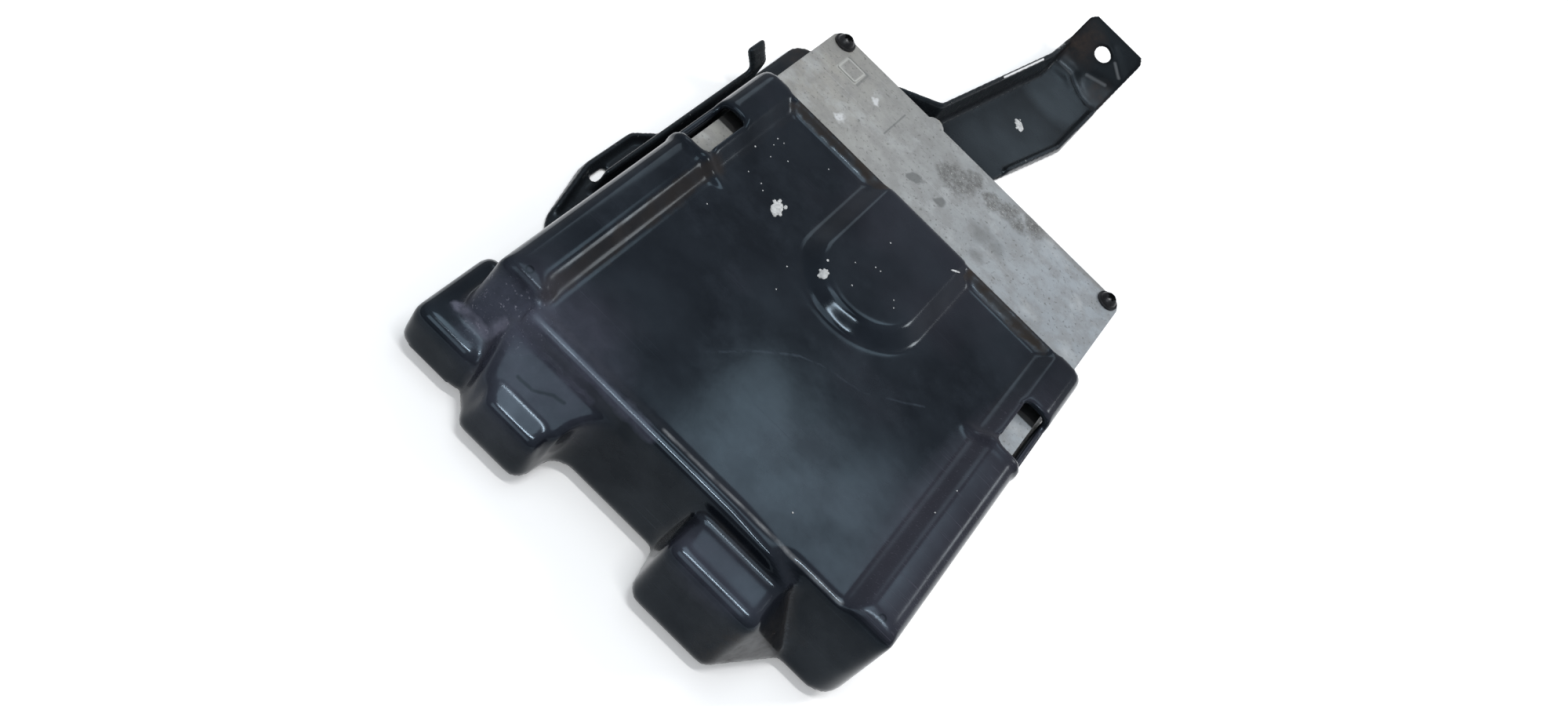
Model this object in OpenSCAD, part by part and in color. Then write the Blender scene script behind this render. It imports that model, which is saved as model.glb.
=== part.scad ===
// Engine control unit: a sealed cast case with its circuit board and plug header,
// under a moulded protective cover, on a pressed sheet bracket with one long arm.
// Frame: X across the case, Y from the plug end to the arm end, Z up.
// The origin lies on the underside of the bracket's flat base.

/* [Case] */
// Width of the cast case
case_w = 139; // [125:1:155]
// Length of the cast case
case_l = 169; // [156:1:180]
// Height of the cast case above its base plate
case_h = 29.5; // [28:0.5:36]
// Wall and roof thickness of the case
case_wall = 3; // [2.5:0.25:4]
// Upright corner radius of the case
case_r = 5; // [3:0.5:8]
// Distance of the case's front face ahead of the origin
case_front = 45; // [40:1:50]
// Thickness of the base plate that closes the case
base_t = 2; // [1.5:0.25:3]
// Inset of the case screws from the sides of the case
screw_inset = 4.9; // [4.5:0.1:6]
// Inset of the case screws from the ends of the case
screw_end = 4.2; // [4:0.1:8]
// Thread diameter of the case screws
screw_d = 4; // [3:0.5:5]
// Head diameter of the case screws
screw_head_d = 8; // [7:0.5:9]
// Head height of the case screws
screw_head_h = 3.4; // [2:0.2:3.4]
// Diameter of the vent boss on the rear wall
vent_boss_d = 9; // [8:0.5:12]
// Diameter of the vent plug
vent_d = 6; // [4:0.5:7]
// Distance of the vent to the left of the middle
vent_x = 22; // [10:1:40]

/* [Protective cover] */
// Wall thickness of the moulded cover
cover_wall = 2.5; // [2:0.1:3]
// Clearance between the case and the cover's side walls
cover_gap = 1; // [0.5:0.1:1.5]
// Height of the cover from its skirt to the top of the rails
cover_h = 36; // [33:0.5:36]
// Length of case left bare behind the cover
bare_l = 53; // [44:1:58]
// Length of the two side rails
rail_l = 141; // [136:1:146]
// Width of the flat on top of each rail
rail_w = 11.6; // [10:0.2:13]
// Depth of the middle panel below the rails
panel_drop = 4; // [3.4:0.2:5]
// Width of the slope from a rail down to the panel
rail_slope = 5.8; // [4:0.2:8]
// Outer edge radius of the rails
rail_r = 5; // [3:0.5:6]
// Radius of the rails' front ends
rail_end_r = 6; // [3:0.5:8]
// How far the skirt stands out beyond the rail's top edge
skirt_draft = 1.5; // [0.5:0.1:2.5]
// Length of the window through each rail
window_l = 24.8; // [18:0.2:30]
// Distance of the windows from the cover's rear edge
window_rear = 28.5; // [22:0.5:34]
// Depth of the windows below the rail's top
window_drop = 4.8; // [4:0.2:5.4]
// Height of the bead in front of each window
bead_h = 0.8; // [0.4:0.1:1.4]
// Width of the bead in front of each window
bead_w = 3; // [2:0.2:4]
// Radius of the raised pad's top
pad_r = 17.3; // [14:0.1:20]
// Width of the pad's sloping side
pad_slope = 6.2; // [4:0.2:8]
// Distance of the pad's round end centre from the rear edge
pad_l = 41; // [34:1:48]
// Length of the slope at the cover's rear lip
lip_slope = 3.9; // [3:0.1:5]

/* [Cover front] */
// How far the nose between the corners stands ahead of the rails
nose_l = 5.5; // [4:0.5:7]
// Height of the ridge along the nose above the panel
ridge_h = 1; // [0.6:0.1:1.6]
// How far the two hoods stand ahead of the rails
hood_l = 23; // [20:0.5:26]
// Depth of the right hood's top below the rails
hood_drop = 9.5; // [8:0.5:12]
// Depth of the corner pocket's top below the rails
pocket_drop = 21; // [18:0.5:24]
// How far the corner pocket stands out beyond the left rail
pocket_out = 8; // [6:0.5:10]
// Edge radius of the hoods and the pocket
hood_r = 4; // [3.4:0.2:4.6]

/* [Plug header] */
// Width of the header's body
header_w = 114; // [108:1:116]
// Height of the header's body
header_h = 23.6; // [22:0.2:25]
// How far the header stands out of the case
header_out = 15; // [13:0.5:15]
// Width of one socket
socket_w = 48; // [44:1:50]
// Height of one socket
socket_h = 16; // [14:0.5:17]
// Depth of the sockets
socket_depth = 15; // [13:0.5:16]
// Distance between the middles of the two sockets
socket_pitch = 57; // [56:0.5:58]
// Pins in one row of a socket
pins_row = 12; // [8:1:14]
// Distance between pins in a row
pin_pitch = 3.6; // [2.5:0.1:3.6]
// Distance between the rows of pins
row_pitch = 3.5; // [3:0.1:4]
// Length of pin that stands free in a socket
pin_free = 8; // [6:0.5:8]

/* [Circuit board] */
// Thickness of the circuit board
board_t = 1.6; // [1.2:0.2:2]
// Height of the board's underside above the base plate
board_lift = 5; // [5:0.2:6]
// Thread diameter of the board screws
board_screw_d = 2.5; // [2:0.1:3]
// Diameter of the posts that carry the board
board_post_d = 7; // [6:0.5:8]

/* [Bracket] */
// Thickness of the bracket's sheet
bracket_t = 2; // [1.6:0.1:2.4]
// How far the bracket stands out to the left of the case
bracket_side = 12.5; // [11:0.5:14]
// How far the bracket's base runs behind the case
bracket_rear = 25; // [22:1:30]
// How far the arm's bend lies behind the case
arm_reach = 139; // [120:1:160]
// Width of the arm at its tab
arm_w = 31; // [28:1:34]
// Length of the tab along its slope
tab_l = 33; // [30:1:36]
// Upward slope of the tab in degrees
tab_tilt = 32; // [20:1:40]
// Inside radius of the tab's bend
tab_bend_r = 10; // [6:1:14]
// Diameter of the bolt hole in the tab
arm_hole_d = 7.5; // [6:0.5:9]
// Distance of the bolt hole from the tab's tip
arm_hole_end = 10.5; // [9:0.5:14]
// Height of the upright flange on the left side
flange_h = 14; // [10:0.5:16]
// Height of the rim on the arm's left edge
arm_rim_h = 16; // [12:0.5:18]
// Height of the low rims on the ear and on the arm's right edge
low_rim_h = 4.5; // [3.5:0.5:6]
// Inside radius of the flange bends
flange_r = 2; // [1:0.25:3]
// Thread diameter of the screws that hold the case on the bracket
mount_screw_d = 5; // [4:0.5:6]

/* [Hidden] */

// Fits and small allowances
fit = 0.3;
thread_gap = 0.1;
cut = 1;
round_fn = 48;
soft_fn = 24;

// Heights of the stack, from the bracket up
base_z = bracket_t;
case_z = base_z + base_t;
top_z = case_z + case_h;
roof_z = top_z - case_wall;
panel_z = top_z + cover_wall;
rail_z = panel_z + panel_drop;
skirt_z = rail_z - cover_h;
board_z = case_z + board_lift;
board_top = board_z + board_t;

// Places along the part
case_y0 = -case_front;
case_y1 = case_y0 + case_l;
case_mid = (case_y0 + case_y1) / 2;
cover_y1 = case_y1 - bare_l;
rail_y0 = cover_y1 - rail_l;
nose_y = rail_y0 - nose_l;
hood_y = rail_y0 - hood_l;

// Places across the part
case_x = case_w / 2;
rail_x = case_x + cover_gap + cover_wall;
crest_x = rail_x - rail_w;
panel_x = crest_x - rail_slope;
screw_x = case_x - screw_inset;
screw_post_r = min(screw_d / 2 + 3, screw_inset, screw_end);
screw_y = [case_y0 + screw_end, case_y1 - screw_end];

// Outline with a radius at each corner: points are [x, y, radius]
function unit(v) = v / norm(v);
function corner_arc(a, b, c, r, n) =
  let (u = unit(a - b))
  let (v = unit(c - b))
  let (half = acos(u * v) / 2)
  let (centre = b + unit(u + v) * r / sin(half))
  let (p = b + u * r / tan(half) - centre)
  let (q = b + v * r / tan(half) - centre)
  let (a0 = atan2(p[1], p[0]))
  let (turn = atan2(p[0] * q[1] - p[1] * q[0], p * q))
  [for (i = [0:n]) centre + r * [cos(a0 + turn * i / n), sin(a0 + turn * i / n)]];
function flat(p) = [p[0], p[1]];
function rounded(pts, n = 6) =
  let (m = len(pts))
  [for (i = [0:m - 1])
    each pts[i][2] > 0
      ? corner_arc(flat(pts[(i + m - 1) % m]), flat(pts[i]), flat(pts[(i + 1) % m]), pts[i][2], n)
      : [flat(pts[i])]];
function rectangle(x0, x1, y0, y1, r) = rounded([[x0, y0, r], [x1, y0, r], [x1, y1, r], [x0, y1, r]]);

// Profile in X and Z drawn out along Y
module along_y(y0, y1) {
  translate([0, y1, 0])
    rotate([90, 0, 0])
      linear_extrude(y1 - y0)
        children();
}

// Profile in Y and Z drawn out along X
module along_x(x0, x1) {
  translate([x0, 0, 0])
    rotate([90, 0, 90])
      linear_extrude(x1 - x0)
        children();
}

module plate(z0, z1, pts) {
  translate([0, 0, z0])
    linear_extrude(z1 - z0)
      polygon(pts);
}

module block(x0, x1, y0, y1, z0, z1) {
  translate([x0, y0, z0])
    cube([x1 - x0, y1 - y0, z1 - z0]);
}

module rod(x, y, z0, z1, d) {
  translate([x, y, z0])
    cylinder(h = z1 - z0, d = d, $fn = round_fn);
}

module at_case_screws() {
  for (side = [-1, 1], y = screw_y)
    translate([side * screw_x, y, 0])
      children();
}

// Protective cover

pad_x = 1;
nose_x0 = -(panel_x + 2);
hood_left = [-51, -30];
hood_right = [11.3, 43.8];
shoulder = 9;
nose_x1 = hood_right[1] - shoulder - 1.44;
cover_corner_r = 9;
end_draft = 2.5;

// Outline across the rails and the sunken panel, down to a given height
module cover_section(low) {
  foot_x = rail_x + skirt_draft * (rail_z - low) / cover_h;
  polygon(rounded([
    [-foot_x, low, 0],
    [foot_x, low, 0],
    [rail_x, rail_z, rail_r],
    [crest_x, rail_z, 2.5],
    [panel_x, panel_z, 2.5],
    [-panel_x, panel_z, 2.5],
    [-crest_x, rail_z, 2.5],
    [-rail_x, rail_z, rail_r]
  ]));
}

// Side view of the rails with their round front ends
module cover_side(low, rear) {
  polygon(rounded([
    [rear, low, 0],
    [rear, rail_z, 0],
    [rail_y0, rail_z, rail_end_r],
    [rail_y0 - end_draft, low, 0]
  ]));
}

// Plan of the rails and side walls with round front corners
module cover_plan(rear) {
  side_x = rail_x + skirt_draft;
  front = rail_y0 - end_draft;
  polygon(rounded([
    [-side_x, rear, 0],
    [-side_x, front, cover_corner_r],
    [side_x, front, cover_corner_r],
    [side_x, rear, 0]
  ]));
}

// Side view of the nose: panel edge, ridge, rounded brow and front wall
module nose_side(low) {
  polygon(rounded([
    [rail_y0 + 12, low, 0],
    [rail_y0 + 12, panel_z, 0],
    [rail_y0 + 1.5, panel_z, 3],
    [rail_y0 - nose_l * 0.35, panel_z + ridge_h, 1.5],
    [nose_y, panel_z + ridge_h, 2.4],
    [nose_y - 0.8, low, 0]
  ]));
}

module nose_plan() {
  polygon(rounded([
    [nose_x0, rail_y0 + 14, 0],
    [nose_x0, nose_y - 1, 3],
    [nose_x1 + shoulder, nose_y - 1, 3],
    [nose_x1 + shoulder + 2, rail_y0 + 2, 4],
    [nose_x1 + shoulder + 2, rail_y0 + 14, 0]
  ]));
}

// Front view of the nose, with a shoulder that falls away on the right
module nose_front(low) {
  top = panel_z + ridge_h + cut;
  polygon(rounded([
    [nose_x0 - cut, low, 0],
    [nose_x0 - cut, top, 0],
    [nose_x1 - 3, top, 4],
    [nose_x1 + shoulder, rail_z - hood_drop + cut, 4],
    [nose_x1 + shoulder + 4, rail_z - hood_drop, 0],
    [nose_x1 + shoulder + 4, low, 0]
  ]));
}

// Rounded block: spheres at its upper corners, and a foot outline at the skirt
module soft_block(tops, r, foot, inset) {
  low = skirt_z - (inset > 0 ? cut : 0);
  hull() {
    for (t = tops)
      translate(t)
        sphere(max(r - inset, 0.2), $fn = soft_fn);
    translate([0, 0, low])
      linear_extrude(cut)
        offset(delta = -inset)
          polygon(rounded(foot, 4));
  }
}

// Rails, side walls and sunken panel
module cover_body(inset) {
  low = skirt_z - 2 * inset;
  rear = cover_y1 + 2 * inset;
  intersection() {
    along_y(rail_y0 - 2 * end_draft, rear)
      offset(delta = -inset)
        cover_section(low);
    along_x(-2 * rail_x, 2 * rail_x)
      offset(delta = -inset)
        cover_side(low, rear + 2 * inset);
    translate([0, 0, low])
      linear_extrude(cover_h + 4 * inset)
        offset(delta = -inset)
          cover_plan(rear + 2 * inset);
  }
}

// Middle of the front wall with the ridge above it
module cover_nose(inset) {
  low = skirt_z - 2 * inset;
  intersection() {
    along_x(-rail_x, rail_x)
      offset(delta = -inset)
        nose_side(low);
    along_y(hood_y, rail_y0 + 2 * rail_end_r)
      offset(delta = -inset)
        nose_front(low);
    translate([0, 0, low])
      linear_extrude(cover_h + 2 * inset)
        offset(delta = -inset)
          nose_plan();
  }
}

// Left front corner under the rail's end
module corner_block(inset) {
  x0 = -rail_x + hood_r;
  x1 = -crest_x + 1;
  r = hood_r;
  soft_block([
    [x0, rail_y0 + r, rail_z - r - 0.3],
    [x1, rail_y0 + r, rail_z - r - 0.3],
    [x0, nose_y + r - 1, rail_z - pocket_drop],
    [x1, nose_y + r - 1, rail_z - pocket_drop],
    [x0, rail_y0 + 3 * r, panel_z - r],
    [x1, rail_y0 + 3 * r, panel_z - r]
  ], r, [
    [-rail_x - skirt_draft, rail_y0 + 4 * r, 0],
    [-rail_x - skirt_draft, nose_y, 4],
    [-panel_x, nose_y, 0],
    [-panel_x, rail_y0 + 4 * r, 0]
  ], inset);
}

// Low pocket outside the left front corner
module corner_pocket(inset) {
  r = hood_r;
  z = rail_z - pocket_drop - r;
  x0 = -rail_x - pocket_out;
  x1 = -panel_x - 3;
  y0 = rail_y0 - 15.5;
  y1 = rail_y0 + 20.5;
  soft_block([
    [x0 + r, y0 + r, z],
    [x1 - r, y0 + r, z],
    [x0 + r, y1 - r - 2, z],
    [x1 - r, y1 - r - 2, z]
  ], r, [
    [x0, y0, 5],
    [x1 + 1.5, y0, 4],
    [x1 + 1.5, y1, 0],
    [x0, y1, 7]
  ], inset);
}

// Ramp of the left hood, falling from the nose to the box in front of it
ramp_top = [rail_y0 - 1.5, rail_z - hood_drop - 2];
ramp_foot = [rail_y0 - 14, rail_z - hood_drop - 12.5];

module left_ramp(inset) {
  r = hood_r;
  soft_block([
    [hood_left[0] - 6, ramp_top[0], ramp_top[1]],
    [hood_left[1] + 2, ramp_top[0], ramp_top[1]],
    [hood_left[0] - 1, ramp_foot[0], ramp_foot[1]],
    [hood_left[1] - 3, ramp_foot[0], ramp_foot[1]]
  ], r, [
    [hood_left[0] - 10, rail_y0, 0],
    [hood_left[0] - 9, rail_y0 - 12, 3],
    [hood_left[0], hood_y + 1.5, 4],
    [hood_left[1] - 1, hood_y + 1.5, 5],
    [hood_left[1] + 1.5, rail_y0 - 14, 5],
    [hood_left[1] + 3, rail_y0, 0]
  ], inset);
}

// Box of the left hood: its top slopes forward and narrows from the left
module left_box(inset) {
  r = hood_r / 2;
  x1 = hood_left[1] - 2.5;
  rear_z = rail_z - hood_drop - 8.5;
  front_z = rear_z - 3.4;
  front = hood_y + r + 0.3;
  soft_block([
    [hood_left[0] - 5, rail_y0 - 8, rear_z],
    [x1, rail_y0 - 8, rear_z],
    [hood_left[0] + 3.5, front, front_z],
    [x1, front, front_z]
  ], r, [
    [hood_left[0] - 4, rail_y0 - 8, 0],
    [hood_left[0] - 1, hood_y, 4],
    [hood_left[1] + 1, hood_y, 5],
    [hood_left[1] + 3, rail_y0 - 8, 0]
  ], inset);
}

// Right hood with a flat top, a rounded brow and a slanting right side
module right_hood(inset) {
  r = hood_r;
  z = rail_z - hood_drop - r;
  x0 = hood_right[0] + r;
  x1 = hood_right[1] - r;
  soft_block([
    [x0 - 1, rail_y0 - 2, z],
    [x1, rail_y0 - 2, z],
    [x0, hood_y + r + 1, z],
    [x1, hood_y + r + 1, z]
  ], r, [
    [hood_right[0] - 2.3, rail_y0 - 2, 0],
    [hood_right[0] + 1.7, hood_y, 5],
    [hood_right[1] - 2.8, hood_y, 5],
    [hood_right[1] + 13.2, rail_y0 - 1, 3],
    [hood_right[1] + 13.2, rail_y0 + 4, 0]
  ], inset);
}

// Hollow corner that leads from the left hood round to the nose, under the ramp's slope
hollow_r = 9;

module hood_hollow(inset) {
  fall = (ramp_top[1] - ramp_foot[1]) / (ramp_top[0] - ramp_foot[0]);
  lift = hood_r * sqrt(1 + fall * fall);
  front = ramp_foot[0] - 2;
  low = skirt_z - 2 * inset;
  x = hood_left[1] + 1.5;
  intersection() {
    along_x(hood_left[0], nose_x1)
      offset(delta = -inset)
        polygon([
          [rail_y0 + 2, low],
          [rail_y0 + 2, ramp_top[1] + lift + (rail_y0 + 2 - ramp_top[0]) * fall],
          [front, ramp_foot[1] + lift + (front - ramp_foot[0]) * fall],
          [front, low]
        ]);
    translate([0, 0, low])
      linear_extrude(cover_h + 2 * inset)
        offset(delta = -inset)
          polygon(rounded([
            [x - 12, rail_y0, 0],
            [x - 12, front, 0],
            [x, front, 0],
            [x, nose_y - 0.5, hollow_r],
            [x + hollow_r + 6, nose_y - 0.5, 0],
            [x + hollow_r + 6, rail_y0, 0]
          ]));
  }
}

// Raised pad with a round front end
module cover_pad(inset) {
  top = rail_z - inset;
  low = panel_z - (inset > 0 ? cover_wall + cut : cut);
  r_top = pad_r - inset;
  r_low = r_top + pad_slope * (top - low) / panel_drop;
  intersection() {
    hull()
      for (y = [cover_y1 - pad_l, cover_y1 + pad_r])
        translate([pad_x, y, low])
          cylinder(h = top - low, r1 = r_low, r2 = r_top, $fn = round_fn);
    block(-rail_x, rail_x, rail_y0, cover_y1 + 2 * inset, low - cut, rail_z);
  }
}

// Slope up to the cover's rear edge
module rear_lip() {
  along_x(-crest_x - 1, crest_x + 1)
    polygon([
      [cover_y1 - lip_slope, panel_z - cut],
      [cover_y1 - lip_slope, panel_z],
      [cover_y1, rail_z],
      [cover_y1, panel_z - cut]
    ]);
}

// Raised band over each rail in front of its window
module window_beads() {
  y1 = cover_y1 - window_rear - window_l + 0.5;
  intersection() {
    along_y(y1 - bead_w, y1)
      offset(r = bead_h)
        cover_section(panel_z - 2);
    union()
      for (side = [-1, 1])
        translate([side * (panel_x + rail_x) / 2, 0, 0])
          block(-rail_w, rail_w, rail_y0, cover_y1, panel_z - 2, 2 * rail_z);
  }
}

module window_cuts() {
  y1 = cover_y1 - window_rear;
  for (side = [-1, 1])
    translate([side * (crest_x + rail_w), 0, 0])
      plate(rail_z - window_drop, 2 * rail_z,
        rectangle(-rail_w + 0.4, rail_w - 0.4, y1 - window_l, y1, 2.5));
}

module protective_cover() {
  color([0.09, 0.10, 0.12])
    difference() {
      union() {
        cover_body(0);
        cover_nose(0);
        corner_block(0);
        corner_pocket(0);
        left_ramp(0);
        left_box(0);
        right_hood(0);
        hood_hollow(0);
        cover_pad(0);
        rear_lip();
        window_beads();
      }
      cover_body(cover_wall);
      cover_nose(cover_wall);
      corner_block(cover_wall);
      corner_pocket(cover_wall);
      left_ramp(cover_wall);
      left_box(cover_wall);
      right_hood(cover_wall);
      hood_hollow(cover_wall);
      cover_pad(cover_wall);
      window_cuts();
    }
}

// Cast case and what closes it

vent_z = top_z - vent_boss_d / 2 - 0.5;
vent_boss_out = 3.4;
pedestal_x = [-38, 20];
pedestal_y = [case_y1 - 53, case_y1 - 31];
chip_h = 2.6;
pad_t = 1;
header_z = case_z + 0.9;
header_z1 = header_z + header_h;
header_x = header_w / 2;
board_post_y = [case_y0 + 40, case_y0 + 88, case_y1 - 20];
board_x = screw_x - screw_post_r - 1.1;
board_post_x = board_x - board_post_d;

module at_board_posts() {
  for (side = [-1, 1], y = board_post_y)
    translate([side * board_post_x, y, 0])
      children();
}

// Path of the seal in the foot of the case wall
module seal_ring(width, z0, z1) {
  inset = case_wall / 2 - width / 2;
  r = case_r - inset;
  difference() {
    plate(z0, z1, rectangle(-case_x + inset, case_x - inset, case_y0 + inset, case_y1 - inset, r));
    plate(z0 - cut, z1 + cut, rectangle(
      -case_x + inset + width, case_x - inset - width,
      case_y0 + inset + width, case_y1 - inset - width, r - width));
  }
}

// Low blank rectangle cast on the bare part of the roof
mark_size = [8.4, 8, 0.5];

module blank_mark() {
  x = -case_x + 14;
  y = case_y1 - 13.4;
  half = mark_size / 2;
  plate(top_z - cut, top_z + mark_size[2], rectangle(x - half[0], x + half[0], y - half[1], y + half[1], 1));
}

module case() {
  color([0.66, 0.67, 0.67])
    difference() {
      union() {
        difference() {
          plate(case_z, top_z, rectangle(-case_x, case_x, case_y0, case_y1, case_r));
          plate(case_z - cut, roof_z, rectangle(
            -case_x + case_wall, case_x - case_wall,
            case_y0 + case_wall, case_y1 - case_wall, case_r - 2));
        }
        at_case_screws()
          rod(0, 0, case_z, roof_z + cut, 2 * screw_post_r);
        at_board_posts()
          rod(0, 0, board_top, roof_z + cut, board_post_d);
        block(pedestal_x[0], pedestal_x[1], pedestal_y[0], pedestal_y[1],
          board_top + chip_h + pad_t, roof_z + cut);
        translate([-vent_x, case_y1 + vent_boss_out, vent_z])
          rotate([90, 0, 0])
            cylinder(h = vent_boss_out + cut, d = vent_boss_d, $fn = round_fn);
        blank_mark();
      }
      at_case_screws()
        rod(0, 0, case_z - cut, top_z + cut, screw_d + fit);
      at_board_posts()
        rod(0, 0, board_top - cut, board_top + 10, board_screw_d + thread_gap);
      block(-header_x - fit, header_x + fit, case_y0 - cut, case_y0 + case_wall + cut,
        case_z - cut, header_z1 + fit);
      translate([-vent_x, case_y1 + vent_boss_out + cut, vent_z])
        rotate([90, 0, 0])
          cylinder(h = vent_boss_out + case_wall + 2 * cut, d = vent_d + thread_gap, $fn = round_fn);
      seal_ring(1.5, case_z - cut, case_z + 1);
    }
}

mount_screw_x = board_post_x - 7.3;
mount_screw_y = [case_mid - 50, case_mid + 45];

module at_mount_screws() {
  for (side = [-1, 1], y = mount_screw_y)
    translate([side * mount_screw_x, y, 0])
      children();
}

module base_plate() {
  color([0.60, 0.61, 0.62])
    difference() {
      plate(base_z, case_z, rectangle(-case_x, case_x, case_y0, case_y1, case_r));
      at_case_screws()
        rod(0, 0, base_z - cut, case_z + cut, screw_d + thread_gap);
      at_mount_screws()
        rod(0, 0, base_z - cut, case_z + cut, mount_screw_d + fit);
    }
}

module base_seal() {
  color([0.20, 0.20, 0.21])
    seal_ring(1.3, case_z, case_z + 0.9);
}

// Domed screws with a washer rim and a six-lobed drive
module case_screws() {
  rim_h = 0.8;
  dome_d = screw_head_d * 0.84;
  dome_h = screw_head_h - rim_h / 2;
  dome_r = (dome_d * dome_d / 4 + dome_h * dome_h) / (2 * dome_h);
  lobe_r = screw_head_d * 0.17;
  color([0.08, 0.08, 0.09])
    at_case_screws()
      difference() {
        union() {
          rod(0, 0, base_z, top_z + cut / 2, screw_d);
          rod(0, 0, top_z, top_z + rim_h, screw_head_d);
          intersection() {
            rod(0, 0, top_z + rim_h / 2, top_z + screw_head_h, dome_d);
            translate([0, 0, top_z + screw_head_h - dome_r])
              sphere(dome_r, $fn = round_fn);
          }
        }
        for (a = [0:60:300])
          rotate([0, 0, a])
            rod(lobe_r, 0, top_z + screw_head_h * 0.35, top_z + 2 * screw_head_h, lobe_r * 0.8);
        rod(0, 0, top_z + screw_head_h * 0.35, top_z + 2 * screw_head_h, lobe_r * 2);
      }
}

module vent_plug() {
  lip = 0.8;
  color([0.86, 0.83, 0.72])
    translate([-vent_x, case_y1 + vent_boss_out, vent_z])
      rotate([90, 0, 0])
        union() {
          cylinder(h = vent_boss_out + case_wall - lip, d = vent_d, $fn = round_fn);
          translate([0, 0, -lip])
            cylinder(h = lip, d = vent_d + 2, $fn = round_fn);
        }
}

// Circuit board and plug header

header_y0 = case_y0 - header_out;
header_tail_y = case_y0 + 17;
flange_y = case_y0 - 1;
flange_t = 2.5;
flange_over = 4;
socket_mid = header_z + header_h / 2 + 0.3;
pin_t = 0.64;
pin_w = 1;
row_z = [for (i = [-1:1]) socket_mid + i * row_pitch];
socket_x = socket_pitch / 2;

module circuit_board() {
  color([0.10, 0.32, 0.18])
    difference() {
      plate(board_z, board_top, rectangle(-board_x, board_x, case_y0 + case_wall + 0.5,
        case_y1 - case_wall - screw_end - 6, 3));
      at_board_posts()
        rod(0, 0, board_z - cut, board_top + cut, board_screw_d + 0.7);
    }
}

module plug_header() {
  color([0.11, 0.11, 0.12])
    difference() {
      union() {
        block(-header_x, header_x, header_y0, case_y0 + case_wall, header_z, header_z1);
        block(-header_x + 2, header_x - 2, case_y0 + case_wall - cut, header_tail_y, board_top, header_z1);
        block(-header_x - flange_over, header_x + flange_over, flange_y - flange_t, flange_y,
          header_z, header_z1 + flange_over / 2);
      }
      for (side = [-1, 1])
        translate([side * socket_x, 0, 0]) {
          block(-socket_w / 2, socket_w / 2, header_y0 - cut, header_y0 + socket_depth,
            socket_mid - socket_h / 2, socket_mid + socket_h / 2);
          for (z = row_z)
            block(-socket_w / 2 + 1.5, socket_w / 2 - 1.5, header_y0, header_tail_y + cut,
              z - pin_t / 2 - thread_gap, z + pin_t / 2 + thread_gap);
        }
    }
}

module header_seal() {
  outer_x = header_x + flange_over - 0.5;
  inner_x = header_x + fit;
  color([0.22, 0.22, 0.23])
    difference() {
      block(-outer_x, outer_x, flange_y, case_y0, header_z, header_z1 + flange_over / 2 - 0.3);
      block(-inner_x, inner_x, flange_y - cut, case_y0 + cut, header_z - cut, header_z1 + fit);
    }
}

// Bent pins of one socket: free ends in the socket, tails down on the board
module socket_pins(x) {
  for (row = [0:2], i = [0:pins_row - 1]) {
    px = x + (i - (pins_row - 1) / 2) * pin_pitch;
    tail_y = header_tail_y + 2 + row * 2.5;
    block(px - pin_w / 2, px + pin_w / 2, header_y0 + socket_depth - pin_free, tail_y + pin_t,
      row_z[row] - pin_t / 2, row_z[row] + pin_t / 2);
    block(px - pin_w / 2, px + pin_w / 2, tail_y, tail_y + pin_t, board_top, row_z[row] - pin_t / 4);
  }
}

module left_pins() {
  color([0.80, 0.70, 0.42])
    socket_pins(-socket_x);
}

module right_pins() {
  color([0.80, 0.70, 0.42])
    socket_pins(socket_x);
}

// Flat chip with legs along two or four sides
module chip(w, l, h, legs, four_sides) {
  leg = 0.5;
  reach = 1.4;
  pitch = w / legs;
  block(-w / 2, w / 2, -l / 2, l / 2, leg, h);
  for (i = [0:legs - 1]) {
    at = (i - (legs - 1) / 2) * pitch;
    block(at - leg / 2, at + leg / 2, l / 2 - leg / 2, l / 2 + reach, 0, 2 * leg);
    block(at - leg / 2, at + leg / 2, -l / 2 - reach, -l / 2 + leg / 2, 0, 2 * leg);
    if (four_sides) {
      block(w / 2 - leg / 2, w / 2 + reach, at - leg / 2, at + leg / 2, 0, 2 * leg);
      block(-w / 2 - reach, -w / 2 + leg / 2, at - leg / 2, at + leg / 2, 0, 2 * leg);
    }
  }
}

module on_board(x, y) {
  translate([x, y, board_top])
    children();
}

module microcontroller() {
  color([0.13, 0.13, 0.14])
    on_board(6, case_y0 + 70)
      chip(24, 24, 2.4, 16, true);
}

module memory_chip() {
  color([0.14, 0.14, 0.15])
    on_board(28, case_y0 + 60)
      chip(5, 4, 1.8, 4, false);
}

// Three driver chips in a row under the heat pedestal
driver_size = [15, 11];
driver_pitch = (pedestal_x[1] - pedestal_x[0]) / 3;
driver_x = [for (i = [0:2]) pedestal_x[0] + driver_pitch * (i + 0.5)];
driver_y = (pedestal_y[0] + pedestal_y[1]) / 2;

module driver_chips() {
  color([0.12, 0.12, 0.13])
    for (x = driver_x)
      on_board(x, driver_y)
        chip(driver_size[0], driver_size[1], chip_h, 12, false);
}

module thermal_pads() {
  x = driver_size[0] / 2 - 1;
  y = driver_size[1] / 2 - 0.5;
  color([0.55, 0.62, 0.66])
    for (driver = driver_x)
      on_board(driver, driver_y)
        block(-x, x, -y, y, chip_h, chip_h + pad_t);
}

transistor_x = board_x - 22;
transistor_pitch = 15;

module power_transistors() {
  color([0.15, 0.15, 0.16])
    for (i = [0:3])
      on_board(transistor_x, case_y0 + 76 + i * transistor_pitch)
        union() {
          block(-5, 4, -5, 5, 0, 4.4);
          block(4, 7, -5, 5, 0, 1.3);
          for (s = [-1, 1])
            block(-9, -4, s * 2.5 - 0.4, s * 2.5 + 0.4, 0, 0.8);
        }
}

// Row of cans on square feet, with the coil beside the middle one
can_d = 10;
can_h = 13;
can_foot = [10.8, 1.6];
can_x = -board_x + 20.5;
can_y = case_y0 + 56;
can_pitch = can_foot[0] + 2.2;
coil_d = 13;
coil_h = 7;

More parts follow.
